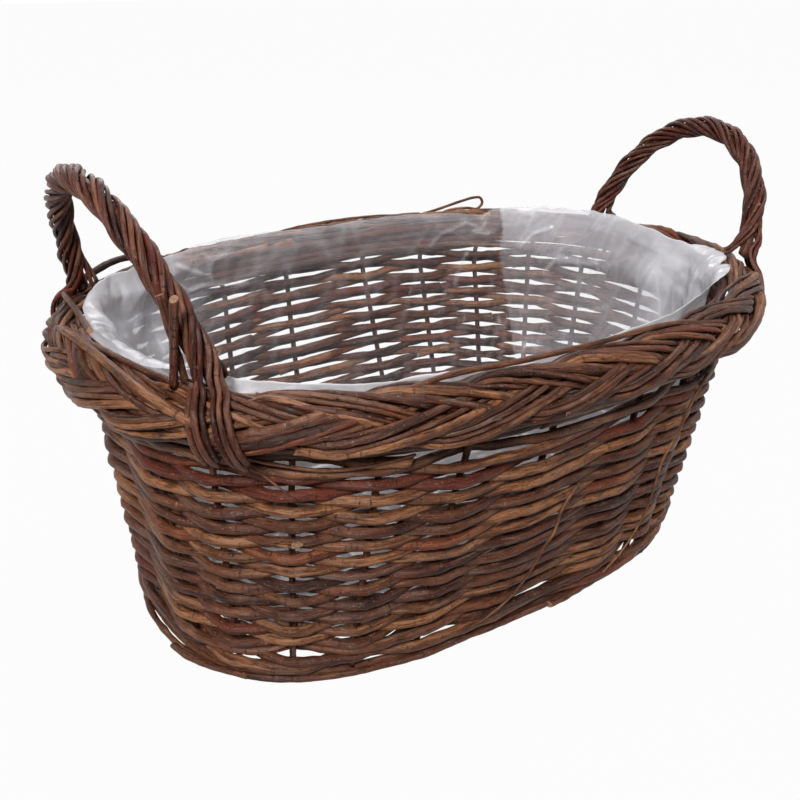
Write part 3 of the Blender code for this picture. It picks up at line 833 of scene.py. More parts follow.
@dataclass
class WovenWall:
    """Stakes and the rods woven between them in one climbing helix."""

    stake_radius: float = 0.0018
    stake_foot: float = 0.00525
    stake_turn: Point = (0.002, 0.014, 0.030)
    row_pitch: float = 0.0045
    first_height: float = 0.00735
    thick: float = 0.00272
    thin: float = 0.00226
    foot_scale: float = 1.10
    bottom_end: int = 69
    wale_strokes: int = 15
    least_strokes: int = 8
    weaver_strokes: int = 50
    weaver_joints: tuple[tuple[int, int], ...] = ((7, 10), (15, 19))
    weaver_count: int = 11
    top_start: int = 619
    last: int = 665
    steps_per_stroke: int = 14
    drift_size: float = 0.00085
    lift_ripples: tuple[tuple[float, float], ...] = ((2.3, 0.00048), (0.45, 0.00016))
    side_ripple: tuple[float, float] = (1.4, 0.00035)
    straightness: float = 0.62
    end_reach: float = 0.30
    end_drop: float = 0.0012
    turned_share: float = 0.35
    far_strokes: tuple[int, int] = (6, 16)
    extra_rounds: int = 3
    extra_start: int = 8
    extra_strokes: int = 10

    def drift(self, angle: np.ndarray, height: np.ndarray) -> np.ndarray:
        """How far the rows are pushed up or down here: a few long waves that fade at the foot and the rim.

        Args:
            angle: Places round the basket, as the outline's angles.
            height: Heights above the floor.

        Returns:
            The shift of each point.
        """
        fade = np.sin(risen(height, 0, FORM.wall_height) * math.pi) ** 0.7
        waves = np.sin(3 * angle + 0.8 + height * 22) + 0.8 * np.sin(5 * angle - 1.9 - height * 31)
        waves = waves + 0.6 * np.sin(8 * angle + 2.2 + height * 47)
        return self.drift_size * waves * fade

    def side(self, strokes: np.ndarray, is_inside: Callable[[np.ndarray], np.ndarray]) -> np.ndarray:
        """Which side of the stakes the rod is on: nearly straight between two stakes, and bent at each.

        Args:
            strokes: Places along the helix, in stakes passed.
            is_inside: Whether the rod is behind the stake at whole strokes.

        Returns:
            From -1 inside the stakes to 1 outside them.
        """
        before = np.where(is_inside(np.floor(strokes)), -1.0, 1.0)
        after = np.where(is_inside(np.floor(strokes) + 1), -1.0, 1.0)
        part = strokes - np.floor(strokes)
        return mix(before, after, mix((1 - np.cos(part * math.pi)) / 2, part, self.straightness))

    def woven(
        self, piece: RodMesh, first: float, last: float, is_inside: Callable[[np.ndarray], np.ndarray],
        palette: Palette,
    ) -> None:
        """Adds one rod of the helix, thick at its butt and thin at its tip.

        It climbs by the row pitch in each round. Its line lies outside or inside the stakes' by their
        radius, its own and the clearance.

        Args:
            piece: The mesh to add it to.
            first: The stroke that it starts at.
            last: The stroke that it ends at.
            is_inside: Whether the rod is behind the stake at whole strokes.
            palette: Where its tone comes from.
        """
        rng, reach = piece.rng, self.end_reach
        strokes = np.linspace(first - reach, last + reach, round((last - first) * self.steps_per_stroke))
        inner = np.clip(strokes, first, last)
        side = self.side(np.clip(strokes, first + 1e-6, last - 1e-6), is_inside)
        beyond = strokes - inner
        height = self.first_height + self.row_pitch * strokes / FORM.stake_count
        angle = FORM.stake_angle(strokes)
        lift = self.drift(angle, height)
        for wavelength, size in self.lift_ripples:
            lift = lift + ripple(rng, strokes, wavelength, size)
        lift = lift - np.sign(beyond) * np.minimum(np.abs(beyond) / reach, 1) * self.end_drop
        taper = np.linspace(0, 1, len(strokes))
        if rng.random() < self.turned_share:
            taper = taper[::-1]
        scale = rng.uniform(0.93, 1.07) * (self.foot_scale if first < self.bottom_end else 1.0)
        radius = mix(self.thick, self.thin, taper) * scale
        out = side * (self.stake_radius + CLEARANCE + radius) + ripple(rng, strokes, *self.side_ripple)
        path = FORM.wall(angle, height, out)
        path[:, 2] += lift
        piece.add(Rod(path, radius, UP, *palette.draw()))

    def waled(self, first: int, is_top: bool) -> Callable[[np.ndarray], np.ndarray]:
        """Behind every third stake, but for the top wale's far side, which goes behind every second one.

        Args:
            first: The wale's first stroke.
            is_top: Whether it is the wale under the border.

        Returns:
            A function that says which whole strokes are behind a stake.
        """
        low, high = self.far_strokes if is_top else (0, -1)

        def is_inside(stroke: np.ndarray) -> np.ndarray:
            """Whether the rod is behind the stake."""
            place = stroke % FORM.stake_count
            return np.where((place >= low) & (place <= high), stroke % 2 == 1, (stroke - first) % 3 == 0)

        return is_inside

    def wale(self, piece: RodMesh, palette: Palette, first: int, last: int) -> None:
        """Adds a wale's rods end to end, and the short rounds that lie over the top one's far side.

        Args:
            piece: The mesh to add to.
            palette: Where the tones come from.
            first: The wale's first stroke.
            last: Its last stroke.
        """
        is_top = last == self.last
        starts = np.arange(first, last, self.wale_strokes)
        cuts = starts + piece.rng.integers(0, 2, len(starts)) * 3
        cuts = [first, *[cut for cut in cuts[1:] if last - cut > self.least_strokes], last]
        is_inside = self.waled(first, is_top)
        for start, end in zip(cuts[:-1], cuts[1:]):
            self.woven(piece, start, end, is_inside, palette)
        for turn in range(self.extra_rounds if is_top else 0):
            start = last + self.extra_start + turn * FORM.stake_count
            self.woven(piece, start, start + self.extra_strokes, lambda stroke: stroke % 2 == 1, palette)

    def plain(self, piece: RodMesh, palette: Palette, first: int, last: int) -> None:
        """Adds a weaver as three rods end to end, before one stake and behind the next.

        Args:
            piece: The mesh to add to.
            palette: Where the tones come from.
            first: The weaver's first stroke.
            last: Its last stroke.
        """
        cuts = [first, *[first + 2 * int(piece.rng.integers(*joint)) for joint in self.weaver_joints], last]
        for start, end in zip(cuts[:-1], cuts[1:]):
            self.woven(piece, start, end, lambda stroke: (stroke - first) % 2 == 0, palette)

    def weave(self, materials: Sequence[bpy.types.Material]) -> None:
        """Builds the wales and the plain rounds, from the foot up.

        Args:
            materials: The bark, and the wood of the cut ends.
        """
        starts = [self.bottom_end + number * self.weaver_strokes for number in range(self.weaver_count)]
        spans = [("bottom_wale", 0, self.bottom_end)]
        spans += [(f"weaver_{number + 1:02d}", start, start + self.weaver_strokes)
                  for number, start in enumerate(starts)]
        spans += [("top_wale", self.top_start, self.last)]
        for number, (node, first, last) in enumerate(spans):
            piece = RodMesh(f"{node}_rods", Finish.BROWN, 100 + number)
            adding = self.wale if "wale" in node else self.plain
            adding(piece, Palette(piece.rng), first, last)
            piece.build(materials, [node])

    def stakes(self, materials: Sequence[bpy.types.Material]) -> None:
        """Builds the stakes, each up the wall and over inside the plait.

        Args:
            materials: The bark, and the wood of the cut ends.
        """
        core = FORM.border_hollow - self.stake_radius - CLEARANCE
        for index in range(FORM.stake_count):
            piece = RodMesh(f"stake_{index + 1:02d}_rod", Finish.BROWN, 300 + index)
            angle = FORM.stake_angle([index])
            heights = np.linspace(self.stake_foot, FORM.wall_height, 8)
            upright = FORM.wall(np.repeat(angle, 8), heights, ripple(piece.rng, heights, 0.08, 0.0002))
            middle, out, along = FORM.frame_at(angle)
            places = zip((-out, UP, UP), self.stake_turn)
            turned = [middle + side * core + along * length for side, length in places]
            path = smooth_through(np.vstack([upright, *turned]), 0.003)
            radius = np.linspace(1.02, 0.85, len(path)) * self.stake_radius
            facing = np.append(out[:2], 0.02)
            piece.add(Rod(path, radius, facing, *Palette(piece.rng, 0.0, 0.5).draw()))
            piece.build(materials, [f"stake_{index + 1:02d}"])


@dataclass
class PlaitedBorder:
    """Five strands of rods that wind over and under each other round the border's line, on a core of rods."""

    under_radius: float = 0.0113
    over_radius: float = 0.0149
    middle_turn: float = math.radians(37)
    swing: float = math.radians(50)
    strands: int = 5
    lanes: int = 4
    spacing: float = 0.00300
    rod_radius: float = 0.00152
    level_change: float = 4.0
    early_change: float = 0.5
    thickness_choice: tuple[float, ...] = (0.74, 0.86, 0.95, 1.04, 1.14, 1.30)
    core_radius: float = 0.0079
    core_thickness: float = 0.0021
    lay_thickness: tuple[float, float] = (0.0024, 0.0020)
    lays: tuple[tuple[float, float], ...] = (
        (0.1388, -0.0030), (0.1427, -0.0024), (0.1470, -0.0024), (0.1514, -0.0025), (0.1558, -0.0026),
        (0.1602, -0.0027), (0.1643, -0.0030), (0.1667, -0.0040), (0.1427, -0.0106), (0.1463, -0.0118),
        (0.1476, -0.0160),
    )
    near_only: float = 0.1500
    near_runs: tuple[tuple[float, float], ...] = ((-0.065, 0.24), (0.22, 0.525))
    replaced: tuple[tuple[int, ...], ...] = ((1, 2), (3, 4), (5, 6), (7, 8), (9,))

    def path(self, phase: np.ndarray, offset: np.ndarray, lift: np.ndarray) -> tuple[np.ndarray, np.ndarray]:
        """A rod of the plait.

        The turn round the border's line swings as the sine of the phase. The rod is on top from each edge
        of the plait to its middle and below from there to the other edge: its level is a hyperbolic tangent
        of the sine of twice the phase, and a rod beside the strand's middle changes level a little sooner
        or later, so that the strands pass each other cleanly.

        Args:
            phase: Radians along the plait, 2 pi for each full swing.
            offset: How far beside the strand's middle the rod lies.
            lift: How far above the strand's own level it lies.

        Returns:
            The path, and the direction away from the border's line at each point.
        """
        periods = FORM.stake_count / self.strands
        length = FORM.border.length()
        mean = (self.under_radius + self.over_radius) / 2
        half = (self.over_radius - self.under_radius) / 2
        change = phase + self.early_change * offset / (mean * self.swing) * np.cos(phase)
        level = np.tanh(self.level_change * np.sin(2 * change)) / math.tanh(self.level_change)
        radius = mean - half * level + lift
        slope = np.arctan(mean * self.swing * np.cos(phase) * 2 * math.pi * periods / length)
        share = phase / (2 * math.pi * periods) - offset * np.sin(slope) / length
        swing = np.sin(phase) - 0.05 * np.sin(3 * phase)
        turn = self.middle_turn + self.swing * swing + offset * np.cos(slope) / radius
        angle = FORM.border.angles(share)
        middle = np.column_stack([FORM.border.at(angle), np.full(len(angle), FORM.border_height)])
        path = FORM.around_border(angle, radius, turn)
        return path, unit(path - middle)

    def lay(self, piece: RodMesh, height: float, inward: float, palette: Palette) -> None:
        """Adds rods end to end round the border's inside, at this height and distance from the film.

        Args:
            piece: The mesh to add to.
            height: The rods' height above the floor.
            inward: How far in from the border's inner face they lie.
            palette: Where the tones come from.
        """
        start = piece.rng.random()
        runs = [(start + part / 3, start + (part + 1.06) / 3) for part in range(3)]
        for first, last in self.near_runs if height < self.near_only else runs:
            share = np.linspace(first, last, 110)
            heights = height + ripple(piece.rng, share, 0.12, 0.0005)
            inner = inward + ripple(piece.rng, share, 0.05, 0.0002)
            path = FORM.inside(FORM.border.angles(share), heights, inner)
            piece.add(Rod(path, np.linspace(*self.lay_thickness, len(share)), UP, *palette.draw()))

    def core(self, piece: RodMesh, strand: int, palette: Palette) -> None:
        """Adds a dark rod inside the plait, all round the basket.

        Args:
            piece: The mesh to add to.
            strand: The strand that it goes with.
            palette: Where the tones come from.
        """
        share = np.linspace(0.0, 1.0, 260)
        angle = FORM.border.angles(share + strand / self.strands)
        turn = self.middle_turn + 2 * math.pi * (strand / self.strands + share)
        path = FORM.around_border(angle, self.core_radius + ripple(piece.rng, share, 0.1, 0.0003), turn)
        piece.add(Rod(path, np.full(len(share), self.core_thickness), UP, 0.05, palette.draw()[1]))

    def strand(self, piece: RodMesh, first: float, lane: int, palette: Palette) -> None:
        """Adds one lane of a strand, as rods that meet where the other strands lie over them.

        Args:
            piece: The mesh to add it to.
            first: The phase that the strand starts at.
            lane: Which of the strand's rods it is.
            palette: Where the tones come from.
        """
        whole = 2 * math.pi * FORM.stake_count / self.strands
        inner = (lane - (self.lanes - 1) / 2) * self.spacing
        halves = first + math.pi * (np.arange(math.ceil(whole / math.pi)) + 0.22)
        hidden = halves[1 + lane::3] + piece.rng.uniform(-0.2, 0.2, len(halves[1 + lane::3]))
        cuts = [first, *hidden[(hidden > first + 2) & (hidden < first + whole - 2)], first + whole]
        for start, end in zip(cuts[:-1], cuts[1:]):
            phase = np.arange(start - 0.5, end + 0.5, 0.055)
            offset = inner + ripple(piece.rng, phase, 3.2, 0.00085)
            lift = ripple(piece.rng, phase, 2.0, 0.00042) + ripple(piece.rng, phase, 0.30, 0.00010)
            path, facing = self.path(phase, offset, lift)
            tone, age = palette.draw()
            radius = self.rod_radius * np.linspace(1.16, 0.84, len(path))
            radius = radius * piece.rng.choice(self.thickness_choice)
            piece.add(Rod(path, radius, facing, tone, age))

    def build(self, materials: Sequence[bpy.types.Material]) -> None:
        """Builds each strand, with the core rod and the lays that go with it.

        Args:
            materials: The bark, and the wood of the cut ends.
        """
        whole = 2 * math.pi * FORM.stake_count / self.strands
        for strand, nodes in enumerate(self.replaced):
            piece = RodMesh(f"border_strand_{strand + 1}_rods", Finish.BROWN, 400 + strand)
            palette = Palette(piece.rng)
            for lane in range(self.lanes):
                self.strand(piece, whole * strand, lane, palette)
            self.core(piece, strand, palette)
            for height, inward in self.lays[strand::self.strands]:
                self.lay(piece, height, inward, palette)
            piece.build(materials, [f"border_rod_{number}" for number in nodes])


@dataclass
class Base:
    """The hoop that the basket stands on, crossed sticks and the rods woven round them."""

    hoop_radius: float = 0.00275
    hoop_starts: tuple[float, ...] = (0.0, 0.5)
    hoop_share: float = 0.51
    edge_offset: float = 0.0050
    edge_radius: float = 0.0021
    edge_starts: tuple[float, ...] = (0.02, 0.27, 0.52, 0.77)
    edge_share: float = 0.30
    corner_starts: tuple[float, ...] = (-0.06, 0.05)
    corner_share: float = 0.16
    corner_bulge: float = 0.0045
    corner_degrees: tuple[float, float] = (181, 15)
    crossing_depth: float = 0.0011
    crossing_share: float = 0.05
    stick_radius: float = 0.0025
    weaver_radius: float = 0.0016
    height: float = 0.01065
    long_places: tuple[float, ...] = (-0.015, 0.0, 0.015)
    cross_places: tuple[float, ...] = tuple((number - 3) * 0.029 for number in range(7))
    rounds: int = 7
    middle_margin: float = 0.010
    edge_margin: float = 0.006
    corner_squareness: float = 3.0

    def hoop(self, materials: Sequence[bpy.types.Material]) -> None:
        """The hoop: rods round the foot, with a row of thinner ones laid against their outside.

        Args:
            materials: The bark, and the wood of the cut ends.
        """
        piece = RodMesh("foot_hoop_rods", Finish.BROWN, 500, sides=14)
        level = self.level(FORM.wall_depth)
        runs = [(start, self.hoop_share, 0.0, self.hoop_radius) for start in self.hoop_starts]
        runs += [(start, self.edge_share, self.edge_offset, self.edge_radius) for start in self.edge_starts]
        runs += [(start, self.corner_share, self.edge_offset / 2, self.edge_radius)
                 for start in self.corner_starts]
        middle, reach = self.corner_degrees
        for start, length, outward, thickness in runs:
            share = np.linspace(start, start + length, 170)
            angle = level.angles(share)
            part = risen(share, start, self.crossing_share)
            crossing = self.crossing_depth * np.cos(part * math.pi) if outward else 0.0
            near = bell(np.degrees(angle) % 360 - middle, reach)
            corner = self.corner_bulge * near * outward / self.edge_offset
            out = outward + crossing + corner + ripple(piece.rng, share, 0.07, 0.0003)
            radius = np.linspace(1.0, 0.86, len(share)) * thickness
            path = np.column_stack([level.at(angle, out), radius + 0.0001])
            piece.add(Rod(path, radius, UP, *Palette(piece.rng, 0.1, 0.8).draw()))
        piece.build(materials, ["foot_hoop"])

    def level(self, inset: float) -> Outline:
        """The foot's outline, this far in."""
        return Outline(FORM.foot.half_length - inset, FORM.foot.half_width - inset, FORM.foot.squareness)

    def edge(self) -> Outline:
        """Where the base's sticks end, inside the wall."""
        return self.level(2 * FORM.wall_depth + CLEARANCE)

    def sticks(self, materials: Sequence[bpy.types.Material]) -> None:
        """Long and cross sticks.

        Args:
            materials: The bark, and the wood of the cut ends.
        """
        piece = RodMesh("base_stick_rods", Finish.BROWN, 510)
        edge = self.edge()
        ends = [[(side * edge.x_at(y), y, self.height) for side in (-1, 1)] for y in self.long_places]
        ends += [[(x, side * edge.y_at(x), self.height) for side in (-1, 1)] for x in self.cross_places]
        for pair in ends:
            path = resampled(np.array(pair), 0.004)
            path[:, 2] += ripple(piece.rng, along_of(path), 0.12, 0.00015)
            tone, age = Palette(piece.rng, 0.0, 0.7).draw()
            radius = np.full(len(path), self.stick_radius) * piece.rng.uniform(0.93, 1.0)
            piece.add(Rod(path, radius, UP, tone, age))
        piece.build(materials, ["base_sticks"])

    def ring(self, share: float, stroke: int, strokes: int) -> tuple[np.ndarray, bool]:
        """Where a ring of the base weaving passes a stick or a corner.

        Args:
            share: How far out the ring lies, from 0 to 1.
            stroke: The crossing's number, from the +X end on.
            strokes: The number of crossings in a round.

        Returns:
            The point in plan, and whether it is at a stick.
        """
        edge = self.edge()
        level = Outline(
            mix(self.cross_places[-1] + self.middle_margin, edge.half_length - self.edge_margin, share),
            mix(self.long_places[-1] + self.middle_margin, edge.half_width - self.edge_margin, share),
            self.corner_squareness,
        )
        half, longs, crosses = strokes // 2, len(self.long_places), len(self.cross_places)
        turned = -1 if stroke % strokes >= half else 1
        step = stroke % half
        if step < longs:
            place = self.long_places[step]
            return turned * np.array([level.x_at(place), place]), True
        if longs < step <= longs + crosses:
            place = self.cross_places[::-1][step - longs - 1]
            return turned * np.array([place, level.y_at(place)]), True
        last_long = np.array([level.x_at(self.long_places[-1]), self.long_places[-1]])
        first_cross = np.array([self.cross_places[-1], level.y_at(self.cross_places[-1])])
        corner = (last_long + first_cross) / 2
        scale = (corner / (level.half_length, level.half_width)) ** level.squareness
        corner = corner / scale.sum() ** (1 / level.squareness)
        return turned * corner * (1 if step == longs else (-1, 1)), False

    def weavers(self, materials: Sequence[bpy.types.Material]) -> None:
        """Two rods that wind outward, one over each stick where the other goes under it.

        Args:
            materials: The bark, and the wood of the cut ends.
        """
        apart = self.stick_radius + CLEARANCE + self.weaver_radius
        lift = apart / math.sqrt(1 - (2 * apart / self.long_places[-1]) ** 2)
        strokes = 2 * (len(self.long_places) + len(self.cross_places) + 2)
        for number in (0, 1):
            points, side = [], 1 - 2 * number
            for stroke in range(self.rounds * strokes):
                share = (stroke / strokes + number / 2) / (self.rounds + 0.5)
                flat, is_stick = self.ring(share, stroke, strokes)
                points.append((*flat, self.height + side * lift * is_stick))
                side = -side if is_stick else side
            piece = RodMesh(f"base_weaver_{number + 1}_rod", Finish.BROWN, 520 + number, sides=8)
            path = smooth_through(np.array(points), 0.003)
            radius = np.full(len(path), self.weaver_radius * 0.97)
            piece.add(Rod(path, radius, UP, *Palette(piece.rng, 0.1, 0.9).draw()))
            piece.build(materials, [f"base_weaver_{number + 1}"])


@dataclass(frozen=True)
class Foot:
    """Where a bow stands on the border: the frame there, the bow's angle and how far it is aside."""

    middle: np.ndarray
    out: np.ndarray
    along: np.ndarray
    angle: float
    aside: float


@dataclass
class Handle:
    """A bow over one end of the basket, roped with three bundles of thin rods.

    Its turns are in degrees round the border's line, where 0 is outward and 90 is up.
    """

    name: str
    side: int
    reach: float
    middle: float
    half_span: float
    centre: float
    rise: float
    lean: float
    turns: float
    seed: int
    bow_radius: float = 0.0020
    bow_filling: float = 1.6
    offset: float = 0.0048
    bundles: int = 3
    lane_width: float = 0.00412 * 0.66
    bend: float = 0.0060
    step: float = 0.0039
    strand_radius: float = 0.00132
    crown: float = 0.0008
    tail_radius: float = 0.01845
    outer_turns: tuple[float, float] = (-14, -64)
    outer_points: int = 7
    inner_turns: tuple[float, float, float] = (10, 14, 106)
    tail_spread: float = 0.0024
    tail_drift: float = 1.5
    loose_length: float = 0.018
    loose: float = 1.1

    def arch(self, angle: np.ndarray) -> np.ndarray:
        """The bow's middle line: half an ellipse in a leaning plane, from 0 at its near foot to pi.

        Args:
            angle: Places along it, in radians.

        Returns:
            One point for each.
        """
        y = self.middle - self.half_span * np.cos(angle)
        z = self.centre + self.rise * np.sin(angle)
        x = self.side * (self.reach + self.lean * (z - FORM.border_height - FORM.plait_reach))
        return np.column_stack([x, y, z])

    def foot(self, end: int) -> Foot:
        """The bow's near foot, at an end of -1, or its far one.

        Args:
            end: Which foot, -1 or 1.

        Returns:
            The foot, where the bow first clears the plait.
        """
        angles = np.linspace(0, math.pi / 2, 400)
        angles = angles if end < 0 else math.pi - angles
        line = self.arch(angles)
        middle, out, along = FORM.frame_near(line[0])
        under = np.maximum(np.abs((line - middle) @ out) - self.bow_radius, 0)
        seat = FORM.border_height + np.sqrt(np.maximum(FORM.plait_reach**2 - under**2, 0)) + CLEARANCE
        first = int(np.argmax(line[:, 2] > seat + self.bow_radius / 10))
        aside = (line[first] - middle) @ along
        return Foot(middle, out, along, angles[first], aside)

    def tail(self, foot: Foot, start: np.ndarray, normal: np.ndarray) -> tuple[np.ndarray, np.ndarray]:
        """The rest of a bundle, over the border to its underside, or to its inside for an inner one.

        Args:
            foot: The foot that it leaves.
            start: The bundle's last point on the handle.
            normal: The direction away from the bow there.

        Returns:
            The tail's middle line, and the directions away from the border along it.
        """
        offset = start - foot.middle
        first = math.degrees(math.atan2(offset[2], offset @ foot.out))
        aside = offset @ foot.along
        if normal @ foot.out > 0:
            start_turn, last = self.outer_turns
            turns = np.radians(np.linspace(first + start_turn, last, self.outer_points))
            apart = math.copysign(self.tail_spread, aside - foot.aside)
            spread = aside + apart * np.linspace(0.3, 1, len(turns))
        else:
            start_turn, least, last = self.inner_turns
            count = 1 + math.ceil((110 - first) / 25)
            turns = np.radians(np.linspace(first + start_turn, max(first + least, last), count))
            spread = np.full(len(turns), aside)
        fallen = foot.middle[2] + self.tail_radius * np.sin(turns) - start[2]
        spread = spread + self.tail_drift * self.side * self.lean * foot.along[0] * fallen
        facing = np.cos(turns)[:, None] * foot.out + np.outer(np.sin(turns), UP)
        return foot.middle + facing * self.tail_radius + np.outer(spread, foot.along), facing

    def bow(self, materials: Sequence[bpy.types.Material], feet: Sequence[Foot]) -> None:
        """The bow inside the roping.

        Args:
            materials: The bark, and the wood of the cut ends.
            feet: Its near foot and its far one.
        """
        piece = RodMesh(f"{self.name}_bow_rod", Finish.RED, self.seed)
        line = self.arch(np.linspace(feet[0].angle, feet[1].angle, 90))
        facing = np.array([self.side, 0.0, 0.0])
        piece.add(Rod(line, np.full(len(line), self.bow_radius * self.bow_filling), facing, 0.2, 0.2))
        piece.build(materials, [f"{self.name}_bow"])

    def build(self, materials: Sequence[bpy.types.Material]) -> None:
        """Builds the bow and its roping: strands at equal turns round the bow, twisting along it.

        Args:
            materials: The bark, and the wood of the cut ends.
        """
        feet = [self.foot(end) for end in (-1, 1)]
        self.bow(materials, feet)
        line = self.arch(np.linspace(feet[0].angle, feet[1].angle, 200))
        lengths = along_of(line)
        steps = round(lengths[-1] / self.step)
        places = np.linspace(0.02, 0.98, steps) * lengths[-1]
        centres = between_points(places, lengths, line)
        forward = unit(np.gradient(centres, axis=0))
        out = np.array([self.side, 0.0, 0.0])
        away = unit(out - forward * (forward @ out)[:, None])
        aside = np.cross(forward, away)
        ends = list(zip(feet, (0, -1)))
        lead = [math.atan2(foot.out @ aside[end], foot.out @ away[end]) for foot, end in ends]
        for index in range(self.bundles):
            first = lead[0] + math.pi / 3 + 2 * math.pi * index / self.bundles
            last = first + lead[1] - lead[0] + 2 * math.pi * self.turns
            twist = np.linspace(first, last, steps)[:, None]
            normals = np.cos(twist) * away + np.sin(twist) * aside
            middles = centres + normals * self.offset
            for foot, distance in zip(feet, (places, lengths[-1] - places)):
                loose = nearness(distance, self.loose_length)[:, None] ** 1.5
                outward = ((middles - centres) @ foot.out)[:, None] * foot.out
                middles = middles + loose * self.loose * outward
            tails = [self.tail(foot, middles[end], normals[end]) for foot, end in ends]
            middle = np.vstack([tails[0][0][::-1], middles, tails[1][0]])
            normal = np.vstack([tails[0][1][::-1], normals, tails[1][1]])
            counts = [len(tails[0][0]), steps, len(tails[1][0])]
            bends = np.repeat([4 * self.tail_radius, self.bend, 4 * self.tail_radius], counts)
            fan = [np.linspace(1, 0, counts[0]), np.zeros(steps), np.linspace(0, 1, counts[2])]
            self.bundle(materials, index, middle, normal, bends, np.concatenate(fan))

    def bundle(
        self, materials: Sequence[bpy.types.Material], index: int, middle: np.ndarray, normal: np.ndarray,
        bend: np.ndarray, fan: np.ndarray,
    ) -> None:
        """Three rods side by side, bent round what they lie on.

        Args:
            materials: The bark and the cut wood.
            index: The bundle's number.
            middle: The bundle's middle line.
            normal: The direction away from what it lies on.
            bend: The radius that it is bent to across its width.
            fan: How far along its tail a point is, from 0 at the handle to 1 at the end.
        """
        piece = RodMesh(f"{self.name}_wrap_{index + 1}_rods", Finish.RED, self.seed + 10 + index)
        forward = unit(np.gradient(middle, axis=0))
        across = unit(np.cross(normal, forward))
        upward = np.cross(forward, across)
        for lane in (-1, 0, 1):
            turn = lane * self.lane_width / bend * (1 + piece.rng.uniform(0.1, 1.3) * fan)
            aside, raised = bend * np.sin(turn), bend * (np.cos(turn) - 1)
            path = middle + across * aside[:, None] + upward * raised[:, None]
            path = path + upward * (self.crown if lane == 0 else 0.0)
            path = path + upward * ripple(piece.rng, np.arange(len(path)) * self.step, 0.03, 0.00018)[:, None]
            path = smooth_through(path, 0.0022)
            shorter = piece.rng.integers(0, 5, 2)
            path = path[shorter[0]:len(path) - shorter[1]]
            facing = between_points(np.linspace(0, 1, len(path)), np.linspace(0, 1, len(upward)), upward)
            radius = self.strand_radius * piece.rng.uniform(0.80, 1.18) * np.linspace(1.06, 0.92, len(path))
            piece.add(Rod(path, radius, facing, *Palette(piece.rng).draw()))
        piece.build(materials, [f"{self.name}_wrap_{index + 1}"])


LEFT_HANDLE = Handle("handle_left", -1, 0.1693, 0.0, 0.0831, 0.15606, 0.0935, 0.298, 10 / 3, 600)
RIGHT_HANDLE = Handle("handle_right", 1, 0.1872, -0.0127, 0.0605, 0.17036, 0.0690, 0.423, 8 / 3, 650)


@dataclass
class Pegs:
    """Two cut rods that stand on the border beside the left handle's near leg."""

    radius: float = 0.0018
    places: tuple[tuple[Point, Point], ...] = (
        ((-0.0142, 0.0102, 0.0), (-0.0171, -0.0050, 0.0420)),
        ((-0.0088, 0.0098, 0.0), (-0.0197, 0.0030, 0.0420)),
    )

    def build(self, materials: Sequence[bpy.types.Material]) -> None:
        """Builds them from the border's top to their cut ends.

        Args:
            materials: The bark, and the wood of the cut ends.
        """
        foot = LEFT_HANDLE.arch(np.array([LEFT_HANDLE.foot(-1).angle]))[0]
        for index, (base, tip) in enumerate(self.places):
            start = foot + base
            middle, out, _ = FORM.frame_near(start)
            start[2] = FORM.seat(max(abs((start - middle) @ out) - self.radius, 0))
            piece = RodMesh(f"handle_left_peg_{index + 1}_rod", Finish.RED, 700 + index, sides=12)
            path = resampled(np.array([start, foot + tip]), 0.002)
            piece.add(Rod(path, np.full(len(path), self.radius), np.array([0.0, 1.0, 0.0]), 0.62, 0.1))
            piece.build(materials, [f"handle_left_peg_{index + 1}"])


@dataclass(frozen=True)
class Stray:
    """A loose rod: its points, its thickness at both ends in millimetres, its tone and whether a cut shows.

    A point on the border is its place round it in degrees, its turn round the border's line in degrees and
    its distance from that line in millimetres. A point on the wall is its place in degrees, its height and
    its distance out from the stakes in millimetres.
    """

    points: tuple[Point, ...]
    radius: tuple[float, float]
    tone: float
    slant: float = 0.5
    cut_turn: float | None = None

    def rod(self, on_border: bool) -> Rod:
        """The rod, smooth through its points.

        Args:
            on_border: Whether its points are on the border, or on the wall.

        Returns:
            The rod.
        """
        place, second, third = np.array(self.points, float).T
        angle = np.radians(place)
        if on_border:
            points = FORM.around_border(angle, third * MM, np.radians(second))
        else:
            points = FORM.wall(angle, second * MM, third * MM)
        path = smooth_through(points, 0.0016)
        facing = np.append(FORM.border.normal(angle[[len(angle) // 2]])[0], 0.35 if on_border else 0.0)
        return Rod(path, np.linspace(*self.radius, len(path)) * MM, facing, self.tone, 0.25)


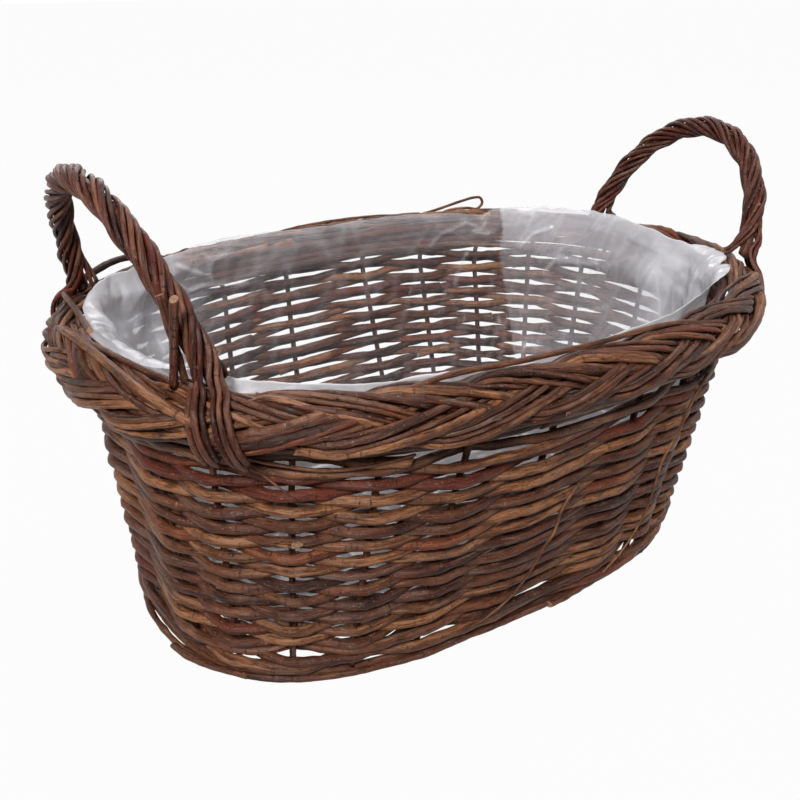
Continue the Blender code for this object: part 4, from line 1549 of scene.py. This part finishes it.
@dataclass
class LooseRods:
    """Rods that have sprung out of the border, and thin tips that hang down the wall."""

    border: tuple[Stray, ...] = (
        Stray(((-193, 60, 13), (-187, 68, 17.6), (-178.5, 75, 18.6), (-169, 68, 18.9), (-159.5, 50, 18.8),
               (-152.9, 33, 18.5), (-148.4, 20, 18.2)), (1.9, 2.15), 0.86, 1.3, 0.3),
        Stray(((-189, 74, 15), (-183, 76, 17.8), (-175.5, 86, 18.3), (-166, 87, 18.2), (-158, 80, 18.0),
               (-152, 74, 16.5), (-147, 68, 13.5)), (1.7, 1.5), 0.18),
        Stray(((177.5, 100, 18.2), (171.3, 103.5, 18.3), (165, 99, 18.4), (158.9, 87.2, 18.4),
               (150, 59.4, 18.2), (144, 40, 15)), (1.75, 1.5), 0.42, 1.2, 0.3),
        Stray(((72, 18, 15), (68.6, 21, 18.6), (64.3, 27, 22.8), (59.5, 36, 25.6), (54.8, 47, 28.6),
               (51.3, 52, 30.8), (50.1, 51, 31), (49.4, 43, 27.4), (50.4, 40, 23.2), (53.5, 52, 20.6),
               (58, 60, 18.6), (62, 60, 14)), (1.05, 0.95), 0.78),
        Stray(((153, 60, 14), (147, 72, 19.4), (140, 80, 23.4), (133, 90, 26.5), (126, 102, 25.5),
               (119, 112, 17)), (2.2, 1.9), 0.05),
        Stray(((97, 70, 14), (90, 68, 17.6), (82, 62, 18.8), (74, 56, 18.4), (66, 52, 16)), (1.2, 0.9), 0.55),
        Stray(((-118, 82, 14), (-112, 88, 17.9), (-101, 92, 18.3), (-90, 90, 18.2), (-80, 86, 17.8),
               (-73, 80, 14.5)), (1.5, 1.3), 0.62),
    )
    wall: tuple[Stray, ...] = (
        Stray(((-62, 134, 8), (-66, 119, 8.2), (-67.6, 103, 8.2), (-70.4, 86, 8.4), (-69.5, 62, 8.2),
               (-70.5, 42, 8.4), (-74, 22, 8.2), (-78, 11, 8)), (1.0, 0.5), 0.83),
        Stray(((-89.3, 96, 7.2), (-90.2, 81, 8.2), (-90.2, 67, 8.4), (-90.7, 57, 8.2), (-91.7, 39, 8.4),
               (-93.3, 26, 8.2), (-97, 17, 8.2), (-104, 14, 7.4)), (0.9, 0.55), 0.74),
        Stray(((-150.5, 150, 9), (-149, 146, 9.5), (-145.9, 139, 8.9), (-142, 134, 8.3), (-138.8, 127, 8.2),
               (-135.8, 120.5, 8)), (0.9, 0.45), 0.70),
        Stray(((-139.0, 94.2, 6.6), (-137.6, 94.6, 7.6), (-136.1, 94.8, 8.2)), (1.5, 1.6), 0.9, 2.2, 3.14),
        Stray(((-185.1, 128, 8.0), (-175.9, 132.7, 8.8), (-165.4, 139.6, 9.0), (-157.3, 146, 9.0),
               (-151.6, 153, 8.6)), (1.0, 0.9), 0.70),
        Stray(((-147, 142, 7), (-140, 140, 8.6), (-132, 137, 8.4), (-124, 138, 8.4), (-117, 141, 7.5)),
              (1.1, 0.8), 0.76),
    )

    def build(self, materials: Sequence[bpy.types.Material]) -> None:
        """Builds those on the border and those on the wall, as a piece each.

        Args:
            materials: The bark, and the wood of the cut ends.
        """
        for number, (place, strays) in enumerate((("border", self.border), ("wall", self.wall))):
            piece = RodMesh(f"{place}_loose_rods", Finish.BROWN, 750 + number)
            for stray in strays:
                piece.add(stray.rod(place == "border"), stray.slant, stray.cut_turn)
            piece.build(materials)


@dataclass
class Liner:
    """A cup of thin film, crumpled, held behind the border, with its cut edge standing up.

    Places round it are in degrees. Its top is the height of its edge, and its cover the share of white, at
    the degrees listed before each. A lip is a stretch of edge rolled outward: its place, its reach, the
    roll's radius and turn, and how clear it is.
    """

    points_round: int = 900
    columns: int = 620
    rings_up: int = 150
    rings_in: int = 40
    kept_rows: tuple[tuple[int, int, int], ...] = ((0, 40, 6), (40, 100, 5), (100, 160, 2), (160, 190, 1))
    thickness: float = 0.00012
    bottom: float = 0.0185
    bottom_curve: float = 0.004
    bottom_wave: float = 0.0012
    gap: float = 0.0005
    pleats: int = 13
    pleat_depth: float = 0.0010
    fold_waves: int = 8
    fold_depth: float = 0.062
    half_round: float = 0.52
    crease_width: float = 0.0012
    soft_waves: tuple[tuple[float, float, float], ...] = ((14, 5, 0.0006), (50, 14, 0.00022))
    edge_wave: float = 0.0006
    edge_tears: tuple[float, float] = (0.0003, 0.0009)
    torn_degrees: tuple[float, float] = (-30, 14)
    edge_calm: tuple[float, float] = (0.012, 0.80)
    lips: tuple[tuple[float, float, float, float, float], ...] = (
        (183, 23, 0.0064, 130, 0.66), (-33, 16, 0.0062, 104, 0.20),
    )
    lip_height: float = 0.1698
    lip_flatness: float = 0.6
    seed: int = 800
    top_degrees: tuple[float, ...] = (
        -180, -168, -154, -145, -128, -113, -98, -87, -60, -35, -15, -1, 14, 34, 49, 52, 68, 86, 98, 113,
        125, 137, 150, 165, 173, 180,
    )
    top: tuple[float, ...] = (
        0.1765, 0.1781, 0.1752, 0.1740, 0.1715, 0.1700, 0.1694, 0.1698, 0.1724, 0.1752, 0.1744, 0.1779,
        0.1806, 0.1785, 0.1771, 0.1744, 0.1746, 0.1767, 0.1784, 0.1800, 0.1775, 0.1790, 0.1830, 0.1835,
        0.1795, 0.1765,
    )
    # The cover rises round the -X end, near 180 degrees: that rise is a painted sheen, the whiter look of
    # film seen at a glancing angle.
    cover_degrees: tuple[float, ...] = (
        -180, -155, -140, -60, -25, -11, -5, 1, 9, 20, 46, 90, 112, 124, 150, 180,
    )
    cover: tuple[float, ...] = (
        0.90, 0.86, 0.62, 0.66, 0.86, 0.82, 0.54, 0.26, 0.13, 0.06, 0.04, 0.04, 0.09, 0.55, 0.88, 0.90,
    )
    doubled_degrees: tuple[float, float] = (-20, 46)
    doubled_height: float = 0.175
    doubled_lean: float = 78.0
    doubled_side: tuple[float, float, float] = (-6, 10, 0.12)
    doubled_top: tuple[float, float, float] = (0.140, 0.026, 0.24)
    upper_white: tuple[float, float, float] = (0.146, 0.010, 0.10)
    edge_white: tuple[float, float] = (0.006, 0.22)
    crease_white: tuple[float, float] = (0.06, 0.22)
    wrinkle_depth: float = 0.0016
    wrinkle_widths: tuple[float, float] = (1.3, 4.0)
    wrinkle_swell: float = 0.10
    # How much whiter the film is along a wrinkle: partly its own crease whitening, partly a painted highlight
    # of its bright crinkles.
    wrinkle_white_and_highlight: float = 2.6
    degree_length: float = 2.7
    wrinkles: tuple[tuple[tuple[float, float], ...], ...] = (
        ((112.4, 173.5), (110.8, 168.4), (111.7, 159.6), (110.9, 150.3)),
        ((110.8, 168.4), (107.5, 170.5)),
        ((120.1, 158.2), (117.9, 152.6), (114.0, 153.8), (105.0, 149.1), (103.6, 149.6)),
        ((119.7, 170.6), (113.2, 160.7)),
        ((65.1, 152.9), (62.9, 161.6), (59.6, 164.5), (56.1, 168.4), (51.7, 163.7), (50.4, 169.3)),
        ((53.3, 161.7), (49.6, 160.0)),
        ((57.8, 123.8), (54.2, 146.5)),
        ((38.0, 151.2), (34.9, 160.7), (29.4, 165.7)),
        ((28.5, 134.9), (24.0, 146.0), (16.0, 144.4), (10.4, 146.8)),
    )

    def kept(self, field: np.ndarray) -> np.ndarray:
        """A field on fewer points: all rows near the edge, fewer below, and columns mixed from two each.

        Args:
            field: Values in rows, from the middle of the bottom to the edge.

        Returns:
            The values that are left.
        """
        rows = np.concatenate([np.arange(*part) for part in self.kept_rows])
        places = np.linspace(0, self.points_round, self.columns, endpoint=False)
        left = places.astype(int)
        share = (places - left).reshape(-1, *[1] * (field.ndim - 2))
        return mix(field[rows][:, left], field[rows][:, (left + 1) % self.points_round], share)

    def crumple(self, rows: int, scale_round: float, scale_up: float) -> np.ndarray:
        """A random field over the cup, periodic round it, of this many waves round the cup and up it.

        The shorter waves of white noise fade in its Fourier transform, and the result is given a standard
        size of 1.

        Args:
            rows: How many rows it has.
            scale_round: Waves round the cup.
            scale_up: Waves up it.

        Returns:
            A value for each row and column.
        """
        rng = np.random.default_rng(self.seed + int(scale_round * 7 + scale_up * 13))
        noise = np.fft.rfft2(rng.standard_normal((rows, self.points_round)))
        up = np.fft.fftfreq(rows)[:, None] * rows / scale_up
        around = np.fft.rfftfreq(self.points_round)[None, :] * self.points_round / scale_round
        field = np.fft.irfft2(noise * np.exp(-(up**2 + around**2)), s=(rows, self.points_round))
        return field / field.std()

    def creased(self, angle: np.ndarray, heights: np.ndarray) -> tuple[np.ndarray, np.ndarray]:
        """Film that was folded flat: straight creases that cross, with flat faces between them.

        Each of a few triangle waves runs at its own slant, and is strong only where its own soft mask is.

        Args:
            angle: The outline's angles, one for each column.
            heights: Heights above the floor, for each row and column.

        Returns:
            How deep the film is folded, in metres, and how sharply it is creased, from 0 to 1.
        """
        rng = np.random.default_rng(self.seed)
        depth, crease = np.zeros(heights.shape), np.zeros(heights.shape)
        for number in range(self.fold_waves):
            around = int(rng.integers(9, 30))
            tilt = rng.choice((-1, 1)) * 2 * math.pi / rng.uniform(0.05, 0.20)
            phase = (around * angle[None, :] + tilt * heights) / (2 * math.pi) + rng.uniform(0, 1)
            wave = 2 * np.abs(phase % 1 - 0.5)
            mask = np.clip(0.35 + 0.55 * self.crumple(len(heights), 6 + number, 3), 0, 1)
            depth += self.fold_depth * (self.half_round / around) * wave * mask
            beside = np.minimum(wave, 1 - wave) * 0.5 / around
            crease = np.maximum(crease, np.exp(-beside / self.crease_width) * mask)
        return depth, crease

    def pinched(self, angle: np.ndarray, heights: np.ndarray) -> np.ndarray:
        """How near each point is to one of the wrinkles, from 0 to 1: they are in degrees and millimetres.

        Args:
            angle: The outline's angles, one for each column.
            heights: Heights above the floor.

        Returns:
            A share for each row and column.
        """
        near = np.zeros(heights.shape)
        across = np.degrees(angle)[None, :] * self.degree_length
        up = heights / MM
        narrow, wide = self.wrinkle_widths
        for line in self.wrinkles:
            for start, end in zip(line[:-1], line[1:]):
                ax, bx = start[0] * self.degree_length, end[0] * self.degree_length
                ay, by = start[1], end[1]
                dot = (across - ax) * (bx - ax) + (up - ay) * (by - ay)
                part = np.clip(dot / ((bx - ax) ** 2 + (by - ay) ** 2), 0, 1)
                gap = np.hypot(across - mix(ax, bx, part), up - mix(ay, by, part))
                near = np.maximum(near, bell(gap, narrow) + self.wrinkle_swell * bell(gap, wide))
        return np.minimum(near, 1)

    def edge(self, degrees: np.ndarray) -> np.ndarray:
        """How far the cut edge stands above its top, more ragged where the film is torn.

        Args:
            degrees: Places round the film, one for each column.

        Returns:
            A row of heights, to add to the top.
        """
        middle, reach = self.torn_degrees
        ragged = mix(*self.edge_tears, bell(degrees - middle, reach))
        waves = self.crumple(self.rings_up, 24, 3)[0] * self.edge_wave
        return (waves + self.crumple(self.rings_up, 95, 3)[0] * ragged)[None, :]

    def floor(self, rim: np.ndarray) -> np.ndarray:
        """The cup's bottom: rings from its middle out to the wall's lowest ring, with low waves.

        Args:
            rim: The wall's lowest ring.

        Returns:
            Rows of points, one for each ring.
        """
        share = np.linspace(0.02, 0.985, self.rings_in)[:, None, None]
        level = np.full((self.rings_in, len(rim), 1), self.bottom)
        floor = np.concatenate([rim[None, :, :2] * share, level], -1)
        waves = np.abs(self.crumple(self.rings_in, 12, 4))
        floor[:, :, 2] += self.bottom_wave * waves * np.sin(share[:, :, 0] * math.pi) ** 0.3
        return floor

    def build(self, material: bpy.types.Material) -> None:
        """Builds the cup as one grid, from the middle of its bottom to its edge.

        A point of the wall has a height and a distance in from the basket. The distance adds up pleats, as
        a cosine round the cup, folds, wrinkles and soft waves. At a lip the film turns outward on an arc.

        Args:
            material: The film.
        """
        angle = np.linspace(-math.pi, math.pi, self.points_round, endpoint=False)
        degrees = np.degrees(angle)
        share = np.linspace(0, 1, self.rings_up)[:, None]
        top = np.interp(degrees, self.top_degrees, self.top)[None, :]
        edge = self.edge(degrees)
        heights = mix(self.bottom + self.bottom_curve, top, share) + edge * share**6
        depth, creases = self.creased(angle, heights)
        pinched = self.pinched(angle, heights)
        depth = depth + self.wrinkle_depth * pinched
        soft = sum(
            np.abs(self.crumple(self.rings_up, around, up)) * size for around, up, size in self.soft_waves
        )
        pleat = (1 - np.cos(self.pleats * (angle + math.pi))) / 2 * self.pleat_depth
        reach, calm = self.edge_calm
        loose = 1 - calm * nearness(top - heights, reach)
        inward = self.gap + (pleat[None, :] * risen(heights, 0, FORM.wall_height) + depth + soft) * loose
        # Along the listed wrinkles the film is made whiter: partly crease whitening, partly a painted
        # highlight.
        whiteness = self.milk(degrees, heights, top, np.clip(creases + self.wrinkle_white_and_highlight * pinched, 0, 3.0))
        for middle, reach, radius, bend, clearer in self.lips:
            beside = (degrees - middle + 180) % 360 - 180
            size = np.exp(-((beside / reach) ** 4))[None, :]
            over = risen(heights, self.lip_height, top - self.lip_height)
            turn = over * math.radians(bend)
            whiteness = whiteness * (1 - clearer * size * np.clip(over * 3, 0, 1))
            inward = inward - size * (radius * (1 - np.cos(turn)) + over * self.lip_flatness * inward)
            rolled = self.lip_height + (radius + edge) * np.sin(turn)
            heights = np.where(over > 0, mix(heights, rolled, size), heights)
        columns = np.broadcast_to(angle, heights.shape).ravel()
        wall = FORM.inside(columns, heights.ravel(), inward.ravel()).reshape(*heights.shape, 3)
        flat = np.zeros((self.rings_in, self.points_round))
        points = self.kept(np.vstack([self.floor(wall[0]), wall]))
        whiteness = self.kept(np.vstack([flat + 0.25, whiteness]))
        creases = self.kept(np.vstack([flat, creases]))
        grid = np.arange(whiteness.size).reshape(whiteness.shape)
        after = np.roll(grid, -1, axis=1)
        quads = np.stack([grid[:-1], after[:-1], after[1:], grid[1:]], axis=-1).reshape(-1, 4)
        self.write(points.reshape(-1, 3), quads, grid[0], material, whiteness, creases)

    def milk(
        self, degrees: np.ndarray, heights: np.ndarray, top: np.ndarray, creases: np.ndarray,
    ) -> np.ndarray:
        """How white the film is, as a share that a ray through both of its faces meets.

        Args:
            degrees: Places round the film, one for each column.
            heights: Heights above the floor.
            top: The height of the film's edge.
            creases: How sharply it is creased, from 0 at a smooth place; along the wrinkles it also holds
                their own whitening and a painted highlight.

        Returns:
            The whiteness of one face, for each row and column.
        """
        degrees = degrees[None, :] + 0 * heights
        cover = np.interp(degrees, self.cover_degrees, self.cover)
        first, last = self.doubled_degrees
        doubled = (degrees > first) & (degrees < last - (self.doubled_height - heights) * self.doubled_lean)
        for value, (start, length, white) in ((degrees, self.doubled_side), (heights, self.doubled_top)):
            cover = cover + white * risen(value, start, length) * doubled
        start, length, upper = self.upper_white
        reach, edge = self.edge_white
        band = risen(heights, start, length) * upper + nearness(top - heights, reach) * edge
        least, more = self.crease_white
        total = np.clip(cover + band + (least + more * cover) * creases, 0.02, 0.95)
        return 1 - np.sqrt(1 - total)

    def write(
        self, points: np.ndarray, quads: np.ndarray, first: np.ndarray, material: bpy.types.Material,
        milk: np.ndarray, creases: np.ndarray,
    ) -> None:
        """Args:
            points: Its points, in rows from the middle of the bottom.
            quads: Its faces.
            first: The innermost ring, closed with one face.
            material: The film.
            milk: How white each point is.
            creases: How sharply it is creased.
        """
        faces = [tuple(face) for face in quads.tolist()] + [tuple(first[::-1].tolist())]
        mesh = bpy.data.meshes.new("liner_film")
        mesh.from_pydata(FORM.place(points).tolist(), [], faces)
        write_attribute(mesh, "milk", milk.ravel())
        write_attribute(mesh, "crease", creases.ravel())
        mesh.polygons.foreach_set("use_smooth", np.ones(len(mesh.polygons), bool))
        mesh.materials.append(material)
        mesh.update()
        piece = finish_piece("liner_film", mesh, ["liner"])
        shell = piece.modifiers.new("thickness", "SOLIDIFY")
        shell.thickness = self.thickness
        shell.offset = 0.0


@dataclass(frozen=True)
class Lamp:
    """A square soft lamp that faces the basket: its place, its width and its power in watts."""

    name: str
    place: Point
    size: float
    power: float


@dataclass(frozen=True)
class Studio:
    """The camera of the photograph, a white sweep and soft lamps."""

    azimuth: float = math.radians(-33.72)
    elevation: float = math.radians(25.30)
    distance: float = 0.6118
    target: Point = (-0.0220, 0.0243, 0.0770)
    lens: float = 44.64
    shift: tuple[float, float] = (0.0404, 0.0300)
    floor_size: float = 8.0
    lit_height: float = 0.10
    clear_rays: tuple[str, ...] = ("Is Glossy Ray", "Is Transmission Ray")
    lamps: tuple[Lamp, ...] = (
        Lamp("key_lamp", (-1.25, -1.20, 1.45), 0.40, 54.0),
        Lamp("top_lamp", (0.6, 0.1, 1.9), 0.8, 14.0),
        Lamp("side_lamp", (1.7, -0.6, 0.9), 0.8, 2.5),
        Lamp("back_lamp", (0.7, 1.7, 1.3), 1.0, 16.0),
    )

    def camera(self) -> None:
        """Looks at the basket from the photograph's side."""
        data = bpy.data.cameras.new("camera")
        data.lens = self.lens
        data.sensor_width = 36.0
        data.shift_x, data.shift_y = self.shift
        data.clip_start, data.clip_end = 0.01, 50.0
        camera = linked("camera", data)
        level, rise = math.cos(self.elevation), math.sin(self.elevation)
        back = Vector((math.sin(self.azimuth) * level, -math.cos(self.azimuth) * level, rise))
        target = Vector(self.target) + Vector((FORM.middle_x, 0, 0))
        aimed(camera, target + back * self.distance, back)
        bpy.context.scene.camera = camera

    def floor(self) -> None:
        """A large white floor that keeps a faint shadow."""
        mesh = bpy.data.meshes.new("floor")
        size = self.floor_size
        corners = [(-size, -size, 0), (size, -size, 0), (size, size, 0), (-size, size, 0)]
        mesh.from_pydata(corners, [], [(0, 1, 2, 3)])
        shader = Shader("floor_paper")
        paths = shader.tree.nodes.new("ShaderNodeLightPath")
        seen = Socket(shader, paths.outputs["Is Camera Ray"])
        for name in self.clear_rays:
            seen = seen + Socket(shader, paths.outputs[name])
        paper = shader.node("ShaderNodeBsdfDiffuse", {}, {"Color": (0.24, 0.24, 0.24, 1.0)}, 0)
        glow = shader.node("ShaderNodeEmission", {}, {"Color": (1.0, 1.0, 1.0, 1.0), "Strength": 1.0}, 0)
        both = shader.node("ShaderNodeMixShader", {}, {0: seen.clamped() * 0.97, 1: paper, 2: glow}, 0)
        shader.tree.links.new(both.socket, shader.output.inputs["Surface"])
        mesh.materials.append(shader.material)
        floor = linked("floor", mesh)

    def world(self) -> None:
        """Even white surroundings, seen as pure white."""
        world = bpy.data.worlds.new("studio")
        world.use_nodes = True
        bpy.context.scene.world = world
        tree = world.node_tree
        background = tree.nodes["Background"]
        background.inputs["Color"].default_value = (1.0, 1.0, 1.0, 1.0)
        paths = tree.nodes.new("ShaderNodeLightPath")
        strength = tree.nodes.new("ShaderNodeMapRange")
        strength.inputs["To Min"].default_value = 0.08
        strength.inputs["To Max"].default_value = 1.0
        seen = paths.outputs["Is Camera Ray"]
        for name in self.clear_rays:
            either = tree.nodes.new("ShaderNodeMath")
            either.operation = "MAXIMUM"
            tree.links.new(seen, either.inputs[0])
            tree.links.new(paths.outputs[name], either.inputs[1])
            seen = either.outputs[0]
        tree.links.new(seen, strength.inputs["Value"])
        tree.links.new(strength.outputs[0], background.inputs["Strength"])

    def light(self, lamp: Lamp) -> None:
        """Hangs a lamp and turns it to the basket.

        Args:
            lamp: The lamp.
        """
        data = bpy.data.lights.new(lamp.name, "AREA")
        data.energy = lamp.power
        data.size = lamp.size
        place = Vector(lamp.place)
        aimed(linked(lamp.name, data), place, place - Vector((0.0, 0.0, self.lit_height)))

    def build(self) -> None:
        """Sets up the view, the floor and the light."""
        self.camera()
        self.floor()
        self.world()
        for lamp in self.lamps:
            self.light(lamp)
        bpy.context.scene.view_settings.view_transform = "Standard"


def main() -> None:
    """Builds the basket, piece by piece, and its studio."""
    logging.basicConfig(level=logging.INFO, format="%(message)s")
    Studio().build()
    cut = CutWood().material()
    brown = [BROWN_BARK.material(), cut]
    red = [RED_BARK.material(), cut]
    wall = WovenWall()
    wall.stakes(brown)
    wall.weave(brown)
    PlaitedBorder().build(brown)
    base = Base()
    base.hoop(brown)
    base.sticks(brown)
    base.weavers(brown)
    LEFT_HANDLE.build(red)
    RIGHT_HANDLE.build(red)
    Pegs().build(red)
    LooseRods().build(brown)
    Liner().build(Film().material())


if __name__ == "__main__":
    main()
